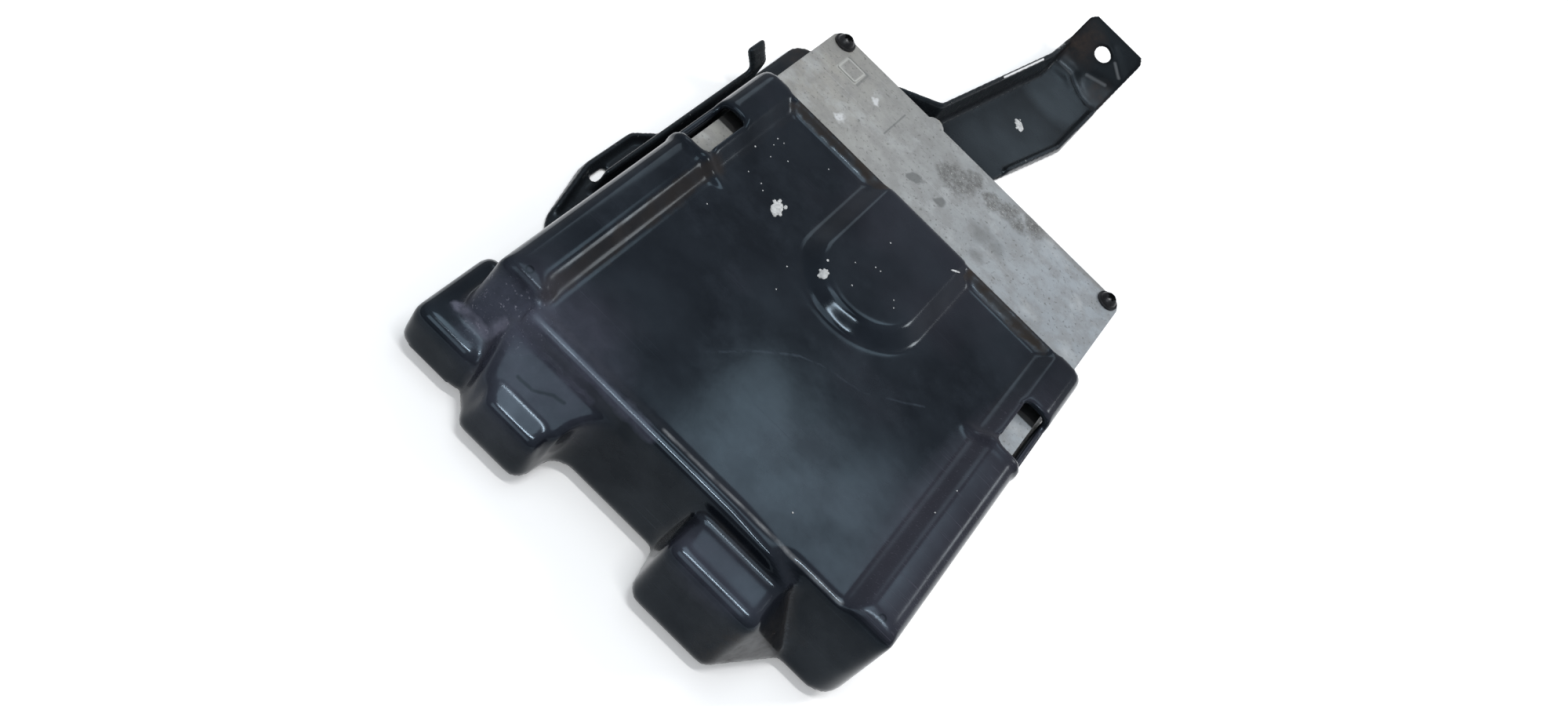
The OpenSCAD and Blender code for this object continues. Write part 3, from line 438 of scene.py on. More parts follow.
def cover_finish(look):
    """Deep glossy black plastic with dust in its hollows, fine scratches and scuffs, painted
    highlights along the panel's front edge and at the front-left corner, and dust that also paints
    in sheen.
    """
    # The plain specular level is for viewers that can't use the varying one
    finish = Finish(
        "gloss black moulding", Specular_Tint=(0.66, 0.84, 1.0), Specular_IOR_Level=0.45, IOR=1.48
    )
    ragged, wavy = finish.warped(160, 6), finish.warped(90, 2)
    cloud = finish.patches(20, 0.4, 0.72, 4)
    smear = finish.patches(70, 0.45, 0.8, 5, 0.65)
    settled = finish.facing(0.3, 0.9)
    hollow = finish.bend(0.1, 0.5)
    crest = finish.bend(-0.15, -0.6)
    fine = finish.most(
        finish.streaks(35, 12, 1500, 0.66, 0.74),
        finish.streaks(-50, 10, 1300, 0.68, 0.76),
        finish.streaks(80, 16, 1700, 0.68, 0.76),
    )
    worn = finish.times(fine, finish.patches(30, 0.45, 0.65, 2))
    wiping = (
        finish.streaks(-35, 60, 1500, 0.5, 0.75),
        finish.streaks(-15, 90, 1900, 0.52, 0.78),
    )
    brushed = finish.times(
        finish.spot(RIGHT_RAIL, 14, 6, None, (1, 0.25, 1)),
        finish.facing(0.5, 0.8),
        finish.most(*wiping, 0.45),
    )
    scuff = finish.times(
        finish.spots(CORNER_SCUFFS, ragged), finish.patches(420, 0.3, 0.7, 4, 0.7, least=0.45)
    )
    # Painted highlight: pale grains in the corner scuffs that stand in for small specular glints
    painted_glints = finish.times(scuff, finish.patches(650, 0.6, 0.68, 4, 0.75))
    brown = finish.times(
        finish.spots(HOOD_DIRT, ragged), finish.patches(300, 0.35, 0.7, 4, 0.7), 0.5
    )
    # Grey-violet dust on the left ramp, along the ridge and on the right hood's top; its colour
    # also paints in the sheen these faces reflect
    dust_and_sheen = finish.times(
        finish.most(
            finish.spot(LEFT_RAMP, 10, 18, ragged),
            finish.times(finish.spot(RIGHT_HOOD, 7, 4, ragged, (0.6, 1, 1)), 0.5),
            finish.times(finish.stroke(RIDGE_DUST_AND_SHEEN, 2.6, 2.2, ragged), 1.3),
            finish.times(finish.stroke(RAMP_DUST_AND_SHEEN, 1.6, 1.8, ragged), 1.2),
        ),
        finish.patches(110, 0.3, 0.7, 4, 0.65, least=0.45),
    )
    # Painted highlight: a pale band along the concave crease of the front-left corner's lip
    painted_lip_highlight = finish.times(
        finish.stroke(CORNER_LIP, 1.4, 1.6, ragged), finish.patches(300, 0.3, 0.7, least=0.4)
    )
    caked = finish.times(
        finish.most(*(finish.stroke(groove, 2.4, 1.6, ragged) for groove in REAR_GROOVES)),
        finish.patches(130, 0.3, 0.6, 4, 0.65, least=0.4),
    )
    grime = finish.times(
        finish.stroke(RAIL_GRIME, 4, 2, ragged), finish.patches(90, 0.3, 0.6, 4, 0.6, least=0.5)
    )
    dull = finish.most(
        grime,
        finish.times(finish.spot(PAD_NOSE, 4.5, 3, None, (0.6, 1, 1)), 0.6),
        finish.times(finish.spot(LEFT_RAIL_END, 3.5, 2.5, ragged), 0.8),
    )
    # Painted highlight: a thin pale line along the panel's front edge
    painted_edge_highlight = finish.times(
        finish.stroke(PANEL_FRONT, 0.4, 0.9), finish.patches(160, 0.35, 0.6, 4, least=0.2)
    )
    pale = finish.times(
        finish.stroke(PANEL_SCRATCH, 0.3, 0.5, wavy), finish.patches(200, 0.35, 0.6)
    )
    # Painted shade: a thin near-black line across the left ramp, standing for a dark reflection
    # line
    dark = finish.stroke(RAMP_DARK_LINE, 0.5, 0.5, wavy)
    rings = [
        finish.reckon("SUBTRACT", finish.spot(place, 1.1, 0.4), finish.spot(place, 0.5, 0.4))
        for place in EJECTOR_MARKS
    ]
    film = finish.most(
        finish.times(finish.most(cloud, smear), settled, 0.3),
        finish.times(hollow, 0.12),
        finish.times(worn, 0.35),
        finish.times(crest, 0.1),
        finish.times(pale, 0.7),
    )
    soiled = finish.most(finish.times(caked, 0.7), finish.times(grime, 0.35), brown)
    base = finish.layered(
        finish.colour(film, look.plastic, look.dust),
        (finish.times(hollow, finish.patches(60, 0.4, 0.7)), 0.55, look.dirt),
        # Grey-violet dust, partly painted sheen
        (dust_and_sheen, 0.75, (0.054, 0.056, 0.077)),
        (finish.times(finish.patches(16, 0.5, 0.7), settled), 0.12, (0.06, 0.045, 0.062)),
        (scuff, 0.6, (0.056, 0.058, 0.084)),
        (brushed, 0.75, (0.047, 0.043, 0.058)),
        # Painted glints in the corner scuffs
        (painted_glints, 0.8, (0.3, 0.3, 0.36)),
        # Painted highlight along the corner's lip
        (painted_lip_highlight, 0.8, (0.15, 0.15, 0.195)),
        # Painted highlight along the panel's front edge
        (painted_edge_highlight, 0.55, (0.26, 0.27, 0.28)),
        (soiled, 1.0, look.dirt),
        # Near-black: the painted dark line on the ramp, and the ejector rings
        (finish.most(dark, *rings), 0.8, (0.002, 0.002, 0.003)),
    )
    finish.feed("Base Color", base)
    wiped = finish.level(finish.grain(45, 5, 0.6), 0.35, 0.65, 0.32, 0.62)
    clean = finish.between(finish.most(caked, brown, finish.times(dull, 0.8)), 1.0, 0.12)
    upward = finish.between(settled, 0.36, 1.0)
    finish.feed("Specular IOR Level", finish.times(wiped, clean, upward))
    finish.feed(
        "Roughness",
        finish.plus(
            finish.between(cloud, look.gloss, look.gloss + 0.05),
            finish.times(smear, 0.05),
            finish.times(worn, 0.1),
            finish.times(hollow, 0.15),
            finish.times(brushed, 0.22),
            finish.times(dust_and_sheen, 0.12),
            finish.times(finish.most(scuff, brown, caked), 0.35),
        ),
    )
    relief = finish.plus(finish.times(finish.grain(220, 2), 0.4), finish.times(scuff, 0.8))
    finish.bumps(relief, 0.05, 0.3)
    return finish.material


# Places on the casting, in millimetres: spots with radius and soft edge, then lines
WATER_DROPS = [((-13.4, 91.2, 33.5), 2.4, 0.8), ((-1.8, 93.5, 33.5), 2.0, 1.0)]
BLOTS = [((16, 95, 33.5), 2.5, 4), ((23, 95, 33.5), 2.2, 3), ((19.6, 85.4, 33.5), 1.6, 3)]
CORRODED_PATCH = [
    ((-3.5, 109, 33.5), 6, 3.5),
    ((2, 116, 33.5), 3, 2.5),
    ((11.7, 114, 33.5), 2.5, 2.5),
    ((17.6, 116.5, 33.5), 3, 3),
    ((24.3, 115, 33.5), 2, 2.5),
    ((28.4, 121, 33.5), 3, 3),
]
LONG_SCUFF = (-42, 108.7, 33.5)
ROUND_SCUFF = (-45, 85.3, 33.5)
REAR_STAIN = [(22, 123.5, 33.5), (66, 123, 33.5)]
# Outline of the raised blank mark, painted pale as its highlight
BLANK_MARK = [
    (-59.7, 106.6, 34), (-51.3, 106.6, 34), (-51.3, 114.6, 34),
    (-59.7, 114.6, 34), (-59.7, 106.6, 34),
]
# Beside the mark's rear and right sides, where shade is painted
MARK_SHADE = [(-59.5, 115.6, 33.5), (-50.6, 115.6, 33.5), (-50.3, 107, 33.5)]
SCRIBED_LINE = [(-31.5, 98, 33.5), (-31.5, 114.5, 33.5)]

# Where the casting's tint turns from warm to cool along X, and where the painted shadow under the
# cover starts and ends along Y
TINT_TURN = (-60 * MM, 50 * MM)
SHADOW_FRONT = (40.7 * MM, 41.3 * MM)
SHADOW_REAR = (71 * MM, 66 * MM)
WARM_TINT = (1.03, 1.0, 0.93)
COOL_TINT = (1.03, 1.13, 1.24)


def case_finish(look):
    """Dull cast alloy with stains, a corroded patch and small pits, painted highlight and shade at
    the raised blank mark, and a painted shadow under the cover's edge.
    """
    finish = Finish("stained casting", Metallic=0.2, Specular_IOR_Level=0.35)
    ragged = finish.warped(120, 9)
    cloud = finish.patches(28, 0.3, 0.7, 4)
    mottle = finish.patches(160, 0.42, 0.6, 5, 0.65)
    pits = finish.patches(800, 0.6, 0.68, 3, 0.6)
    pale = finish.patches(75, 0.55, 0.75, 4, 0.6)
    fine = finish.most(
        finish.streaks(20, 20, 1600, 0.66, 0.76), finish.streaks(-62, 20, 1400, 0.68, 0.78)
    )
    patch = finish.spots(CORRODED_PATCH, ragged)
    crust = finish.times(patch, finish.patches(700, 0.42, 0.6, 4, 0.75))
    bloom = finish.times(patch, finish.patches(950, 0.6, 0.68, 3, 0.7))
    behind = finish.part_of(finish.place, "Y")
    # Painted shadow: near-black on the casting's top from the back of the cover's windows to under
    # the cover, which shades it
    painted_shadow = finish.times(finish.level(behind, *SHADOW_FRONT), finish.level(behind, *SHADOW_REAR))
    scribed = finish.stroke(SCRIBED_LINE, 0.3, 0.3)
    scuffs = finish.times(
        finish.most(
            finish.spot(LONG_SCUFF, 1.6, 1.2, ragged, (1.8, 0.8, 1)),
            finish.spot(ROUND_SCUFF, 1.6, 1.5, ragged),
        ),
        finish.patches(500, 0.35, 0.5),
    )
    warm, cool = (
        [c * t for c, t in zip(look.metal, tint)] for tint in (WARM_TINT, COOL_TINT)
    )
    tone = finish.colour(finish.level(finish.part_of(finish.place, "X"), *TINT_TURN), warm, cool)
    base = finish.layered(
        finish.colour(finish.between(cloud, 0.4, 0.0), tone, (0.17, 0.175, 0.175)),
        (mottle, 0.5, [c * 0.66 for c in look.metal]),
        (pale, 0.55, (0.52, 0.54, 0.55)),
        (finish.stroke(REAR_STAIN, 2.0, 3.5, ragged), 0.5, (0.19, 0.175, 0.16)),
        (fine, 0.3, (0.5, 0.51, 0.52)),
        (pits, 0.65, (0.13, 0.13, 0.125)),
        (patch, 0.5, (0.17, 0.17, 0.165)),
        (crust, 0.7, (0.1, 0.1, 0.097)),
        (bloom, 0.7, (0.55, 0.55, 0.53)),
        # Painted highlight along the raised border of the blank mark
        (finish.stroke(BLANK_MARK, 0.8, 0.5), 0.65, (0.56, 0.56, 0.53)),
        # Painted shade beside the mark's rear and right sides, in the stain colour
        (finish.stroke(MARK_SHADE, 0.5, 0.5), 0.5, look.stain_and_shade),
        (finish.spots(BLOTS, ragged), 0.45, look.stain_and_shade),
        (finish.spots(WATER_DROPS, ragged), 0.75, look.stain_and_shade),
        (scribed, 0.6, look.stain_and_shade),
        (scuffs, 0.8, (0.68, 0.69, 0.7)),
        # Painted shadow under the cover's edge
        (painted_shadow, 0.93, (0.012, 0.012, 0.013)),
    )
    finish.feed("Base Color", base)
    dullness = finish.between(mottle, 0.46, 0.6)
    finish.feed("Roughness", finish.plus(dullness, finish.times(patch, 0.15)))
    sunk = finish.times(finish.most(pits, crust, scribed), 0.8)
    finish.bumps(finish.reckon("SUBTRACT", finish.times(mottle, 0.25), sunk), 0.12, 0.5)
    return finish.material


# Places on the bracket, in millimetres: lines, then spots with radius and soft edge, then centres
# Painted shade along the groove of the deepest crease
CREASE_SHADE_LINE = [(0.4, 266.6, 4.6), (6.5, 263.5, 2.9), (12.4, 259.7, 2.1)]
# Painted highlights along the ridges of the creases
CREASE_HIGHLIGHT_LINES = [
    [(-8.1, 266.6, 4.6), (-1, 266.5, 4.5)],
    [(4.2, 269.9, 6.7), (12.8, 272.1, 8)],
    [(9.5, 281.5, 14), (15, 278.2, 12)],
]
# Painted highlight along the top edge of the arm's rim
RIM_HIGHLIGHT_LINE = [(-18.6, 207.5, 15.8), (-15.7, 223.7, 15.8), (-13.1, 238.6, 15.8)]
BROWNED = [((-10, 278, 12), 6, 9), ((-76, 143, 2), 6, 12), ((14, 268, 5), 2, 6)]
ARM_ROOT = (2, 200, 2)
ARM_END = (2, 248, 2)
ARM_TAB = (3, 284, 14)


def bracket_finish(look):
    """Satin black paint on sheet steel, hazed with grey dust, browned at its edges, with a painted
    sheen on the arm's top and painted highlights and shade at the creases and the rim.
    """
    # The plain specular level is for viewers that can't use the varying one
    finish = Finish("satin black paint", Specular_Tint=(0.72, 0.87, 1.0), Specular_IOR_Level=0.26)
    loose = finish.warped(70, 12)
    cloud = finish.patches(40, 0.3, 0.7, 4)
    smear = finish.patches(130, 0.42, 0.75, 5, 0.65)
    chips = finish.patches(520, 0.66, 0.7, 4, 0.7)
    crest = finish.bend(-0.2, -0.5)
    brown = finish.spots(BROWNED, loose)
    # Painted sheen: a paler bluish film on the arm's flat top, strongest at its root and near its
    # end
    painted_sheen = finish.times(
        finish.most(finish.spot(ARM_ROOT, 20, 20), finish.times(finish.spot(ARM_END, 12, 12), 1.4)),
        finish.facing(0.9, 0.99),
    )
    # The grey film: dust in clouds and smears, and the painted sheen on the arm's top
    film = finish.most(
        finish.times(finish.most(cloud, smear), 0.2),
        finish.times(painted_sheen, finish.between(cloud, 0.4, 0.85)),
    )
    # Painted highlights on the crease ridges
    painted_crease_highlights = finish.most(*(finish.stroke(line, 0.5, 0.9) for line in CREASE_HIGHLIGHT_LINES))
    base = finish.layered(
        finish.colour(film, look.paint, look.dust),
        (brown, finish.between(smear, 0.1, 0.6), look.rust),
        (crest, chips, (0.3, 0.3, 0.29)),
        # Painted shade in the crease's groove
        (finish.stroke(CREASE_SHADE_LINE, 0.9, 1.0), 0.85, (0.002, 0.002, 0.003)),
        (painted_crease_highlights, 0.55, (0.16, 0.17, 0.18)),
        # Painted highlight: a near-white line along the rim's top edge
        (finish.stroke(RIM_HIGHLIGHT_LINE, 0.6, 0.4), 0.95, (0.8, 0.8, 0.8)),
    )
    finish.feed("Base Color", base)
    tab = finish.spot(ARM_TAB, 17, 5, loose)
    finish.feed("Specular IOR Level", finish.between(tab, 0.26, 0.05))
    satin = finish.between(smear, 0.26, 0.4)
    finish.feed("Roughness", finish.plus(satin, finish.times(brown, 0.2)))
    finish.bumps(finish.grain(600, 3), 0.04, 0.4)
    return finish.material


def plain_finish(name, dark, light, rough, scale, metallic=0.0, relief=0.03):
    """A finish of two close tones with a fine grain, for small and inner pieces."""
    finish = Finish(name, Metallic=metallic)
    tone = finish.patches(scale, 0.3, 0.7, 4)
    finish.feed("Base Color", finish.colour(tone, dark, light))
    finish.feed("Roughness", finish.between(tone, rough * 0.85, min(rough * 1.2, 1.0)))
    finish.bumps(finish.grain(scale * 3, 2), relief, 0.4)
    return finish.material


def paint_nodes(coats):
    """Nodes that are shown as they are get plain finishes, one for each row."""
    for nodes, *look in coats:
        material = plain_finish(*look)
        for node in nodes:
            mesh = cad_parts[node].data
            mesh.materials.clear()
            mesh.materials.append(material)


class CONTROL_UNIT_OT_stage(bpy.types.Operator):
    """Set up the floor, the soft light and the camera"""

    bl_idname = "control_unit.stage"
    bl_label = "Stage"

    sensor = 36.0
    nearest = 0.01
    floor_half = 4.0
    floor_height = -0.2 * MM
    floor_glow = 0.28
    # Light of the room from below, from overhead, and at the height where it is dimmest
    low_light = (0.30, 0.31, 0.33, 1.0)
    high_light = (0.36, 0.38, 0.42, 1.0)
    dim_light = (0.26, 0.275, 0.3, 1.0)
    dim_height = 0.62
    # Name, place, width and depth in metres, watts and tint
    soft_lamps = (
        ("Key", (0.75, 1.05, 1.25), (0.45, 0.45), 10.5, (1.0, 0.98, 0.96)),
        ("Overhead", (-0.17, 0.12, 1.35), (0.6, 0.5), 2.6, (0.88, 0.96, 1.0)),
        ("Front", (-0.19, -0.94, 1.06), (0.8, 0.6), 2.8, (0.9, 0.97, 1.0)),
        ("Side", (0.855, 1.244, 0.98), (0.25, 0.25), 1.3, (1.0, 0.95, 0.9)),
        ("Rear window", (0.1, 0.83, 1.04), (0.3, 0.24), 0.4, (0.8, 0.94, 1.0)),
        ("Left rear", (-0.55, 1.1, 0.85), (0.35, 0.35), 0.35, (0.85, 0.95, 1.0)),
        ("Strip", (0.05, -0.25, 1.3), (0.6, 0.06), 6.0, (1.0, 1.0, 1.0)),
    )
    # The lamp that glossy surfaces don't mirror, so that it leaves no glare on them
    unmirrored = "Key"

    def execute(self, context):
        look = context.scene.control_unit_stage
        context.scene.view_settings.view_transform = "Standard"
        self.camera(context, look)
        self.floor(context, look)
        self.world(context)
        self.lamps(context)
        return {"FINISHED"}

    def camera(self, context, look):
        """A camera at the photograph's viewing angle."""
        data = bpy.data.cameras.new("Camera")
        data.sensor_fit = "HORIZONTAL"
        data.sensor_width = self.sensor
        data.lens = look.lens
        data.clip_start = self.nearest
        level = math.cos(look.rise)
        side, front = math.sin(look.swing) * level, -math.cos(look.swing) * level
        back = Vector((side, front, math.sin(look.rise)))
        right = (-back).cross(Vector((0, 0, 1))).normalized()
        up = back.cross(right)
        across = right * math.cos(look.roll) + up * math.sin(look.roll)
        above = up * math.cos(look.roll) - right * math.sin(look.roll)
        place = Matrix((across, above, back)).transposed().to_4x4()
        place.translation = look.eye
        camera = bpy.data.objects.new("Camera", data)
        camera.matrix_world = place
        context.scene.collection.objects.link(camera)
        context.scene.camera = camera

    def floor(self, context, look):
        """A pale floor that looks white and keeps the part's shadow."""
        finish = Finish("pale floor", Roughness=0.9, Specular_IOR_Level=0.0)
        finish.feed("Base Color", look.floor)
        path = finish.add("ShaderNodeLightPath").outputs
        rays = ("Is Camera Ray", "Is Glossy Ray", "Is Transmission Ray")
        seen = finish.most(*(path[ray] for ray in rays))
        finish.feed("Emission Color", (1.0, 1.0, 1.0))
        finish.feed("Emission Strength", finish.times(seen, self.floor_glow))
        mesh = bpy.data.meshes.new("floor")
        half = self.floor_half
        corners = [(-half, -half), (half, -half), (half, half), (-half, half)]
        mesh.from_pydata([(x, y, self.floor_height) for x, y in corners], [], [(0, 1, 2, 3)])
        mesh.materials.append(finish.material)
        floor = bpy.data.objects.new("floor", mesh)
        context.scene.collection.objects.link(floor)

    def world(self, context):
        """A soft room that is dimmest half-way up and brightest overhead."""
        world = bpy.data.worlds.new("Soft room")
        context.scene.world = world
        world.use_nodes = True
        nodes, links = world.node_tree.nodes, world.node_tree.links
        split = nodes.new("ShaderNodeSeparateXYZ")
        links.new(nodes.new("ShaderNodeTexCoord").outputs["Generated"], split.inputs[0])
        ramp = nodes.new("ShaderNodeValToRGB")
        links.new(split.outputs["Z"], ramp.inputs["Fac"])
        stops = ramp.color_ramp.elements
        stops[0].position, stops[0].color = 0.0, self.low_light
        stops[1].position, stops[1].color = 1.0, self.high_light
        stops.new(self.dim_height).color = self.dim_light
        links.new(ramp.outputs["Color"], nodes["Background"].inputs["Color"])

    def lamps(self, context):
        """Soft lamps that aim at the part."""
        for name, place, (width, depth), power, tint in self.soft_lamps:
            data = bpy.data.lights.new(name, "AREA")
            data.shape = "RECTANGLE"
            data.size, data.size_y = width, depth
            data.energy = power
            data.color = tint
            lamp = bpy.data.objects.new(name, data)
            lamp.visible_glossy = name != self.unmirrored
            lamp.location = place
            lamp.rotation_euler = (-Vector(place)).to_track_quat("-Z", "Y").to_euler()
            context.scene.collection.objects.link(lamp)


class CONTROL_UNIT_OT_cover(bpy.types.Operator):
    """Make the glossy protective cover with its rounded moulded edges"""

    bl_idname = "control_unit.cover"
    bl_label = "Protective cover"

    # The panel's height and the ridge's reach, in millimetres; it fades between two places
    panel = 36.0
    fade_start, fade_end = 18.0, 36.0
    ridge_right = 44.0
    ridge_front, ridge_rear = -80.0, -66.0

    def execute(self, context):
        look = context.scene.control_unit_cover
        piece = copy_of("protective_cover", "moulded_cover")
        net = even_net(piece, look.cell)
        net.points = net.eased(net.points, look.rounding)
        self.fade_ridge(net)
        net.write()
        net.shade(look.sheen)
        dressed(piece, cover_finish(look), "protective_cover")
        return {"FINISHED"}

    def fade_ridge(self, net):
        """The low ridge along the panel's front sinks into the panel towards its right end."""
        x, y, z = net.points.T / MM
        ridge = (x > self.fade_start) & (x < self.ridge_right) & (z > self.panel)
        ridge &= (y > self.ridge_front) & (y < self.ridge_rear)
        gone = (x[ridge] - self.fade_start) / (self.fade_end - self.fade_start)
        kept = 1.0 - np.clip(gone, 0.0, 1.0)
        net.points[ridge, 2] = (self.panel + (z[ridge] - self.panel) * kept) * MM


class CONTROL_UNIT_OT_case(bpy.types.Operator):
    """Make the cast case with its rounded edges and stains"""

    bl_idname = "control_unit.case"
    bl_label = "Cast case"

    flat = math.radians(1.0)
    sharp = math.radians(40)
    edge_segments = 3

    def execute(self, context):
        look = context.scene.control_unit_case
        piece = copy_of("case", "cast_case")
        shape = bmesh.new()
        shape.from_mesh(piece.data)
        bmesh.ops.dissolve_limit(
            shape,
            angle_limit=self.flat,
            verts=shape.verts,
            edges=shape.edges,
            delimit={"NORMAL"},
        )
        shape.to_mesh(piece.data)
        shape.free()
        edge = piece.modifiers.new("Cast edge", "BEVEL")
        edge.width = look.edge
        edge.segments = self.edge_segments
        edge.limit_method = "ANGLE"
        edge.angle_limit = self.sharp
        settle(piece)
        smooth = np.ones(len(piece.data.polygons), bool)
        piece.data.polygons.foreach_set("use_smooth", smooth)
        piece.data.set_sharp_from_angle(angle=self.sharp)
        dressed(piece, case_finish(look), "case")
        return {"FINISHED"}


class CONTROL_UNIT_OT_bracket(bpy.types.Operator):
    """Make the pressed bracket with the creases beside its bend"""

    bl_idname = "control_unit.bracket"
    bl_label = "Bracket"

    sheen = 2
    # Line in the plan, width, and share of the depth: down where it is negative
    creases = (
        ([(-11.1, 266.8), (-1.3, 267.4), (3.0, 264.6), (8.4, 262.6), (14.6, 262.1)], 1.6, -1.0),
        ([(-9.0, 262.0), (-1.0, 263.2), (4.0, 260.5)], 2.6, 0.7),
        ([(3.7, 270.2), (12.8, 272.8)], 2.2, 0.5),
        ([(4.6, 285.8), (10.3, 283.0), (15.3, 280.0)], 1.2, -0.5),
    )

    def execute(self, context):
        look = context.scene.control_unit_bracket
        piece = copy_of("bracket", "pressed_bracket")
        net = even_net(piece, look.cell)
        points = net.points / MM
        for line, width, share in self.creases:
            away = self.distance(points[:, :2], line)
            net.points[:, 2] += look.crease * share * np.exp(-((away / width) ** 2))
        net.points[:, 2] = np.maximum(net.points[:, 2], 0.0)
        net.points = net.eased(net.points, look.rounding)
        net.write()
        net.shade(self.sheen)
        dressed(piece, bracket_finish(look), "bracket")
        return {"FINISHED"}

    def distance(self, places, line):
        """Distance of each place from a line through several points."""
        runs = []
        for start, end in zip(np.array(line[:-1]), np.array(line[1:])):
            way = end - start
            along = np.clip((places - start) @ way / (way @ way), 0.0, 1.0)
            runs.append(np.linalg.norm(places - start - along[:, None] * way, axis=1))
        return np.min(runs, axis=0)


class CONTROL_UNIT_OT_specks(bpy.types.Operator):
    """Spatter the cover and the arm with dry specks of pale paint"""

    bl_idname = "control_unit.specks"
    bl_label = "Paint specks"

    # Place and radius of each speck, in millimetres
    cover = (
        ((-54.9, 40.9, 36), 0.35), ((-50, 30, 36), 0.245), ((-44.6, 30.2, 36), 0.28),
        ((-42.6, 28.3, 36), 0.245), ((-57.8, 3.7, 36), 0.385), ((-50.2, 5.8, 36), 0.245),
        ((-44.7, 47.2, 36), 0.28), ((-34.3, 59, 36), 0.28), ((-49.3, 42.8, 36), 0.245),
        ((-20.2, 11, 36), 0.28), ((-17.4, 0.4, 36), 0.245), ((-52.4, 51.8, 36), 0.28),
        ((-50, 52.3, 36), 0.245), ((-51.6, 48.1, 36), 0.245), ((-12.9, 21.7, 40), 0.49),
        ((-3.2, 49.3, 40), 0.28), ((-6.6, 30.1, 40), 0.245), ((-1.1, 35.4, 40), 0.28),
        ((0.8, 35.7, 40), 0.245), ((-2.3, 21.3, 40), 0.28), ((10, 30.2, 40), 0.245),
        ((11.6, 27.5, 40), 0.245),
    )
    # Piece, place, reach across and along, turn in degrees, and crumbs round it
    crusts = (
        ("moulded_cover", (-35.5, 26.9, 36), (2.4, 4.2), 0, 6),
        ("moulded_cover", (-11, 16, 40), (1.6, 2.4), 20, 9),
        ("moulded_cover", (18, 62.6, 40), (0.5, 2.4), -45, 2),
        ("pressed_bracket", (-1.1, 211.4, 2), (2.2, 4.6), 40, 3),
        ("moulded_cover", (29.8, -58.6, 36), (0.35, 0.35), 0, 0),
        ("moulded_cover", (61.2, -10.8, 39.8), (0.3, 0.3), 0, 0),
        ("moulded_cover", (60.1, -23.0, 39.1), (0.3, 0.3), 0, 0),
    )
    seed = 7
    # Share of a crust's reach that its middle takes
    middle = 0.85
    # Shares of the set height: a speck's, a crust's middle's and a crumb's
    speck_height, crust_height, crumb_height = 0.8, 1.3, (0.8, 1.6)
    # A crumb's place and size as shares of its crust's reach, and its length by its width
    crumb_place, crumb_size, crumb_length = (0.7, 1.05), (0.14, 0.3), 1.3
    # Corners of a dome's outline, its waves, and how deep its foot is sunk in
    corners = 20
    wave_counts, wave_size = (2, 3, 5, 7), (0.03, 0.2)
    sunk = 0.1 * MM
    # Shares of reach and height at the two rings above a dome's foot
    shoulder, crown = (0.88, 0.6), (0.5, 1.0)
    # Share of the paint's colour that its dark tone has
    shaded = 0.5

    def execute(self, context):
        look = context.scene.control_unit_specks
        context.view_layer.update()
        chance = random.Random(self.seed)
        shape = bmesh.new()
        for place, radius in self.cover:
            height = look.height * self.speck_height
            self.drop(shape, "moulded_cover", place, (radius, radius), height, chance)
        for target, place, (across, along), turn, count in self.crusts:
            way = Matrix.Rotation(math.radians(turn), 3, "Z")
            reach = (across * self.middle, along * self.middle)
            height = look.height * self.crust_height
            self.drop(shape, target, place, reach, height, chance, way)
            for _ in range(count):
                angle, out = chance.uniform(0, math.tau), chance.uniform(*self.crumb_place)
                step = Vector((across * math.cos(angle), along * math.sin(angle), 0)) * out
                width = across * chance.uniform(*self.crumb_size)
                height = look.height * chance.uniform(*self.crumb_height)
                crumb = Vector(place) + way @ step
                reach = (width, width * self.crumb_length)
                self.drop(shape, target, crumb, reach, height, chance)
        mesh = bpy.data.meshes.new("paint_specks")
        shape.to_mesh(mesh)
        shape.free()
        mesh.polygons.foreach_set("use_smooth", np.ones(len(mesh.polygons), bool))
        piece = bpy.data.objects.new("paint_specks", mesh)
        context.scene.collection.objects.link(piece)
        dark = [c * self.shaded for c in look.paint]
        dressed(piece, plain_finish("dry pale paint", dark, look.paint, 0.7, 800, relief=0.12))
        return {"FINISHED"}

    def drop(self, shape, target, place, reach, height, chance, way=Matrix.Identity(3)):
        """One low dome of paint with an uneven outline, sunk a little into the surface."""
        surface = bpy.data.objects[target]
        _, foot, up, _ = surface.closest_point_on_mesh(Vector(place) * MM)
        side = way @ Vector((1, 0, 0))
        side = (side - up * up.dot(side)).normalized()
        other = up.cross(side)
        waves = [
            (k, chance.uniform(0, math.tau), chance.uniform(*self.wave_size) / math.sqrt(k))
            for k in self.wave_counts
        ]
        rings = []
        levels = [(1.0, -self.sunk)]
        levels += [(share, height * part) for share, part in (self.shoulder, self.crown)]
        for share, lift in levels:
            ring = []
            for i in range(self.corners):
                turn = math.tau * i / self.corners
                wave = sum(size * math.cos(k * turn + start) for k, start, size in waves)
                step = side * math.cos(turn) * reach[0] + other * math.sin(turn) * reach[1]
                out = step * MM * share * (1.0 + wave)
                ring.append(shape.verts.new(foot + out + up * lift))
            rings.append(ring)
        for low, high in zip(rings, rings[1:]):
            for i in range(self.corners):
                j = (i + 1) % self.corners
                shape.faces.new((low[i], low[j], high[j], high[i]))
        shape.faces.new(rings[-1])
        shape.faces.new(rings[0][::-1])


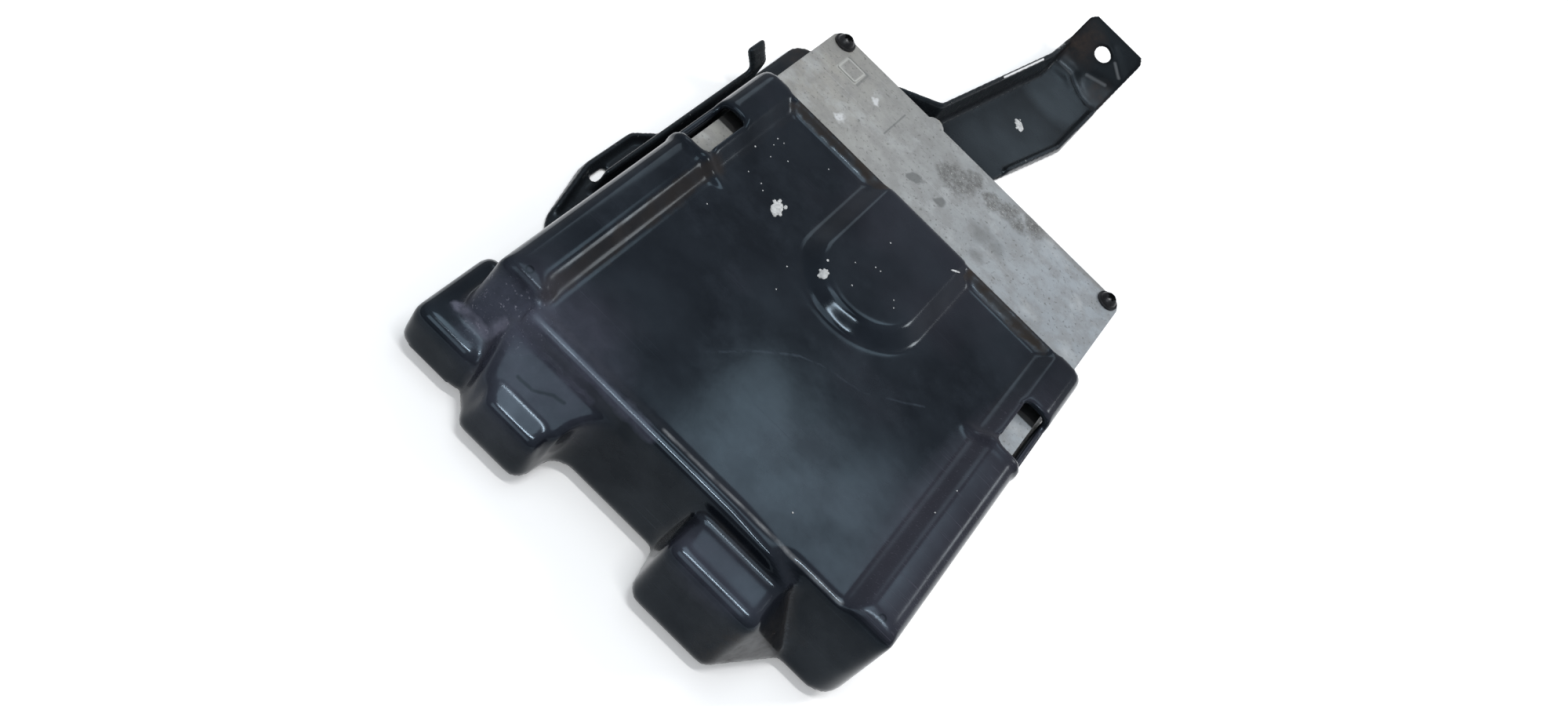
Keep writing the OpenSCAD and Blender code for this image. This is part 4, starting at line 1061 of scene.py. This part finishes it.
class CONTROL_UNIT_OT_fittings(bpy.types.Operator):
    """Give the screws, the vent plug and the base plate their finishes"""

    bl_idname = "control_unit.fittings"
    bl_label = "Screws, vent plug and base plate"

    # Nodes, finish, dark and light tone, roughness, grains in a metre, and how metallic
    coats = (
        (
            ("case_screws",),
            "black coated steel", (0.012, 0.012, 0.013), (0.03, 0.03, 0.032), 0.3, 600, 0.4,
        ),
        (
            ("board_screws", "bracket_screws", "clinch_nuts"),
            "plain steel", (0.5, 0.5, 0.49), (0.62, 0.62, 0.6), 0.32, 500, 0.9,
        ),
        (("vent_plug",), "cream moulding", (0.5, 0.46, 0.33), (0.66, 0.62, 0.48), 0.5, 300),
        (
            ("base_plate",),
            "plain alloy sheet", (0.33, 0.34, 0.35), (0.43, 0.44, 0.45), 0.42, 120, 0.6,
        ),
    )

    def execute(self, context):
        paint_nodes(self.coats)
        return {"FINISHED"}


class CONTROL_UNIT_OT_electronics(bpy.types.Operator):
    """Give the plug header, the seals and the circuit board their finishes"""

    bl_idname = "control_unit.electronics"
    bl_label = "Header and circuit board"

    # Nodes, finish, dark and light tone, roughness, grains in a metre, and how metallic
    coats = (
        (
            ("plug_header",),
            "black header moulding", (0.012, 0.012, 0.013), (0.022, 0.022, 0.024), 0.45, 300,
        ),
        (
            ("base_seal", "header_seal"),
            "sealing rubber", (0.02, 0.02, 0.021), (0.035, 0.035, 0.036), 0.75, 500,
        ),
        (
            ("left_pins", "right_pins"),
            "tinned pins", (0.62, 0.52, 0.3), (0.72, 0.64, 0.42), 0.28, 900, 0.95,
        ),
        (("circuit_board",), "board lacquer", (0.01, 0.09, 0.035), (0.018, 0.13, 0.05), 0.35, 250),
        (
            (
                "microcontroller", "memory_chip", "driver_chips",
                "power_transistors", "pressure_sensor",
            ),
            "chip package", (0.014, 0.014, 0.015), (0.03, 0.03, 0.032), 0.55, 700,
        ),
        (("thermal_pads",), "thermal pad", (0.25, 0.32, 0.36), (0.34, 0.41, 0.45), 0.8, 600),
        (
            ("capacitors",),
            "capacitor can", (0.03, 0.033, 0.045), (0.06, 0.065, 0.08), 0.35, 400, 0.3,
        ),
        (("coil",), "coil core", (0.05, 0.045, 0.04), (0.1, 0.09, 0.08), 0.7, 800),
        (("crystal",), "crystal can", (0.5, 0.51, 0.52), (0.62, 0.63, 0.64), 0.25, 400, 0.95),
    )

    def execute(self, context):
        paint_nodes(self.coats)
        return {"FINISHED"}


class CONTROL_UNIT_PT_panel(bpy.types.Panel):
    bl_label = "Control unit"
    bl_idname = "CONTROL_UNIT_PT_panel"
    bl_space_type = "VIEW_3D"
    bl_region_type = "UI"
    bl_category = "Control unit"

    def draw(self, context):
        for operator in OPERATORS:
            self.layout.operator(operator.bl_idname)
        for group in SETTINGS:
            look = getattr(context.scene, group)
            for name in look.bl_rna.properties.keys():
                if name not in ("rna_type", "name"):
                    self.layout.prop(look, name)


OPERATORS = (
    CONTROL_UNIT_OT_stage,
    CONTROL_UNIT_OT_cover,
    CONTROL_UNIT_OT_case,
    CONTROL_UNIT_OT_bracket,
    CONTROL_UNIT_OT_specks,
    CONTROL_UNIT_OT_fittings,
    CONTROL_UNIT_OT_electronics,
)
SETTINGS = {
    "control_unit_cover": CoverSettings,
    "control_unit_case": CaseSettings,
    "control_unit_bracket": BracketSettings,
    "control_unit_specks": SpeckSettings,
    "control_unit_stage": StageSettings,
}


def register():
    for group, kind in SETTINGS.items():
        bpy.utils.register_class(kind)
        setattr(bpy.types.Scene, group, bpy.props.PointerProperty(type=kind))
    for kind in (*OPERATORS, CONTROL_UNIT_PT_panel):
        bpy.utils.register_class(kind)


def unregister():
    for kind in reversed((*OPERATORS, CONTROL_UNIT_PT_panel)):
        bpy.utils.unregister_class(kind)
    for group, kind in reversed(SETTINGS.items()):
        delattr(bpy.types.Scene, group)
        bpy.utils.unregister_class(kind)


def main():
    register()
    bpy.ops.control_unit.stage()
    bpy.ops.control_unit.cover()
    bpy.ops.control_unit.case()
    bpy.ops.control_unit.bracket()
    bpy.ops.control_unit.specks()
    bpy.ops.control_unit.fittings()
    bpy.ops.control_unit.electronics()


if __name__ == "__main__":
    main()
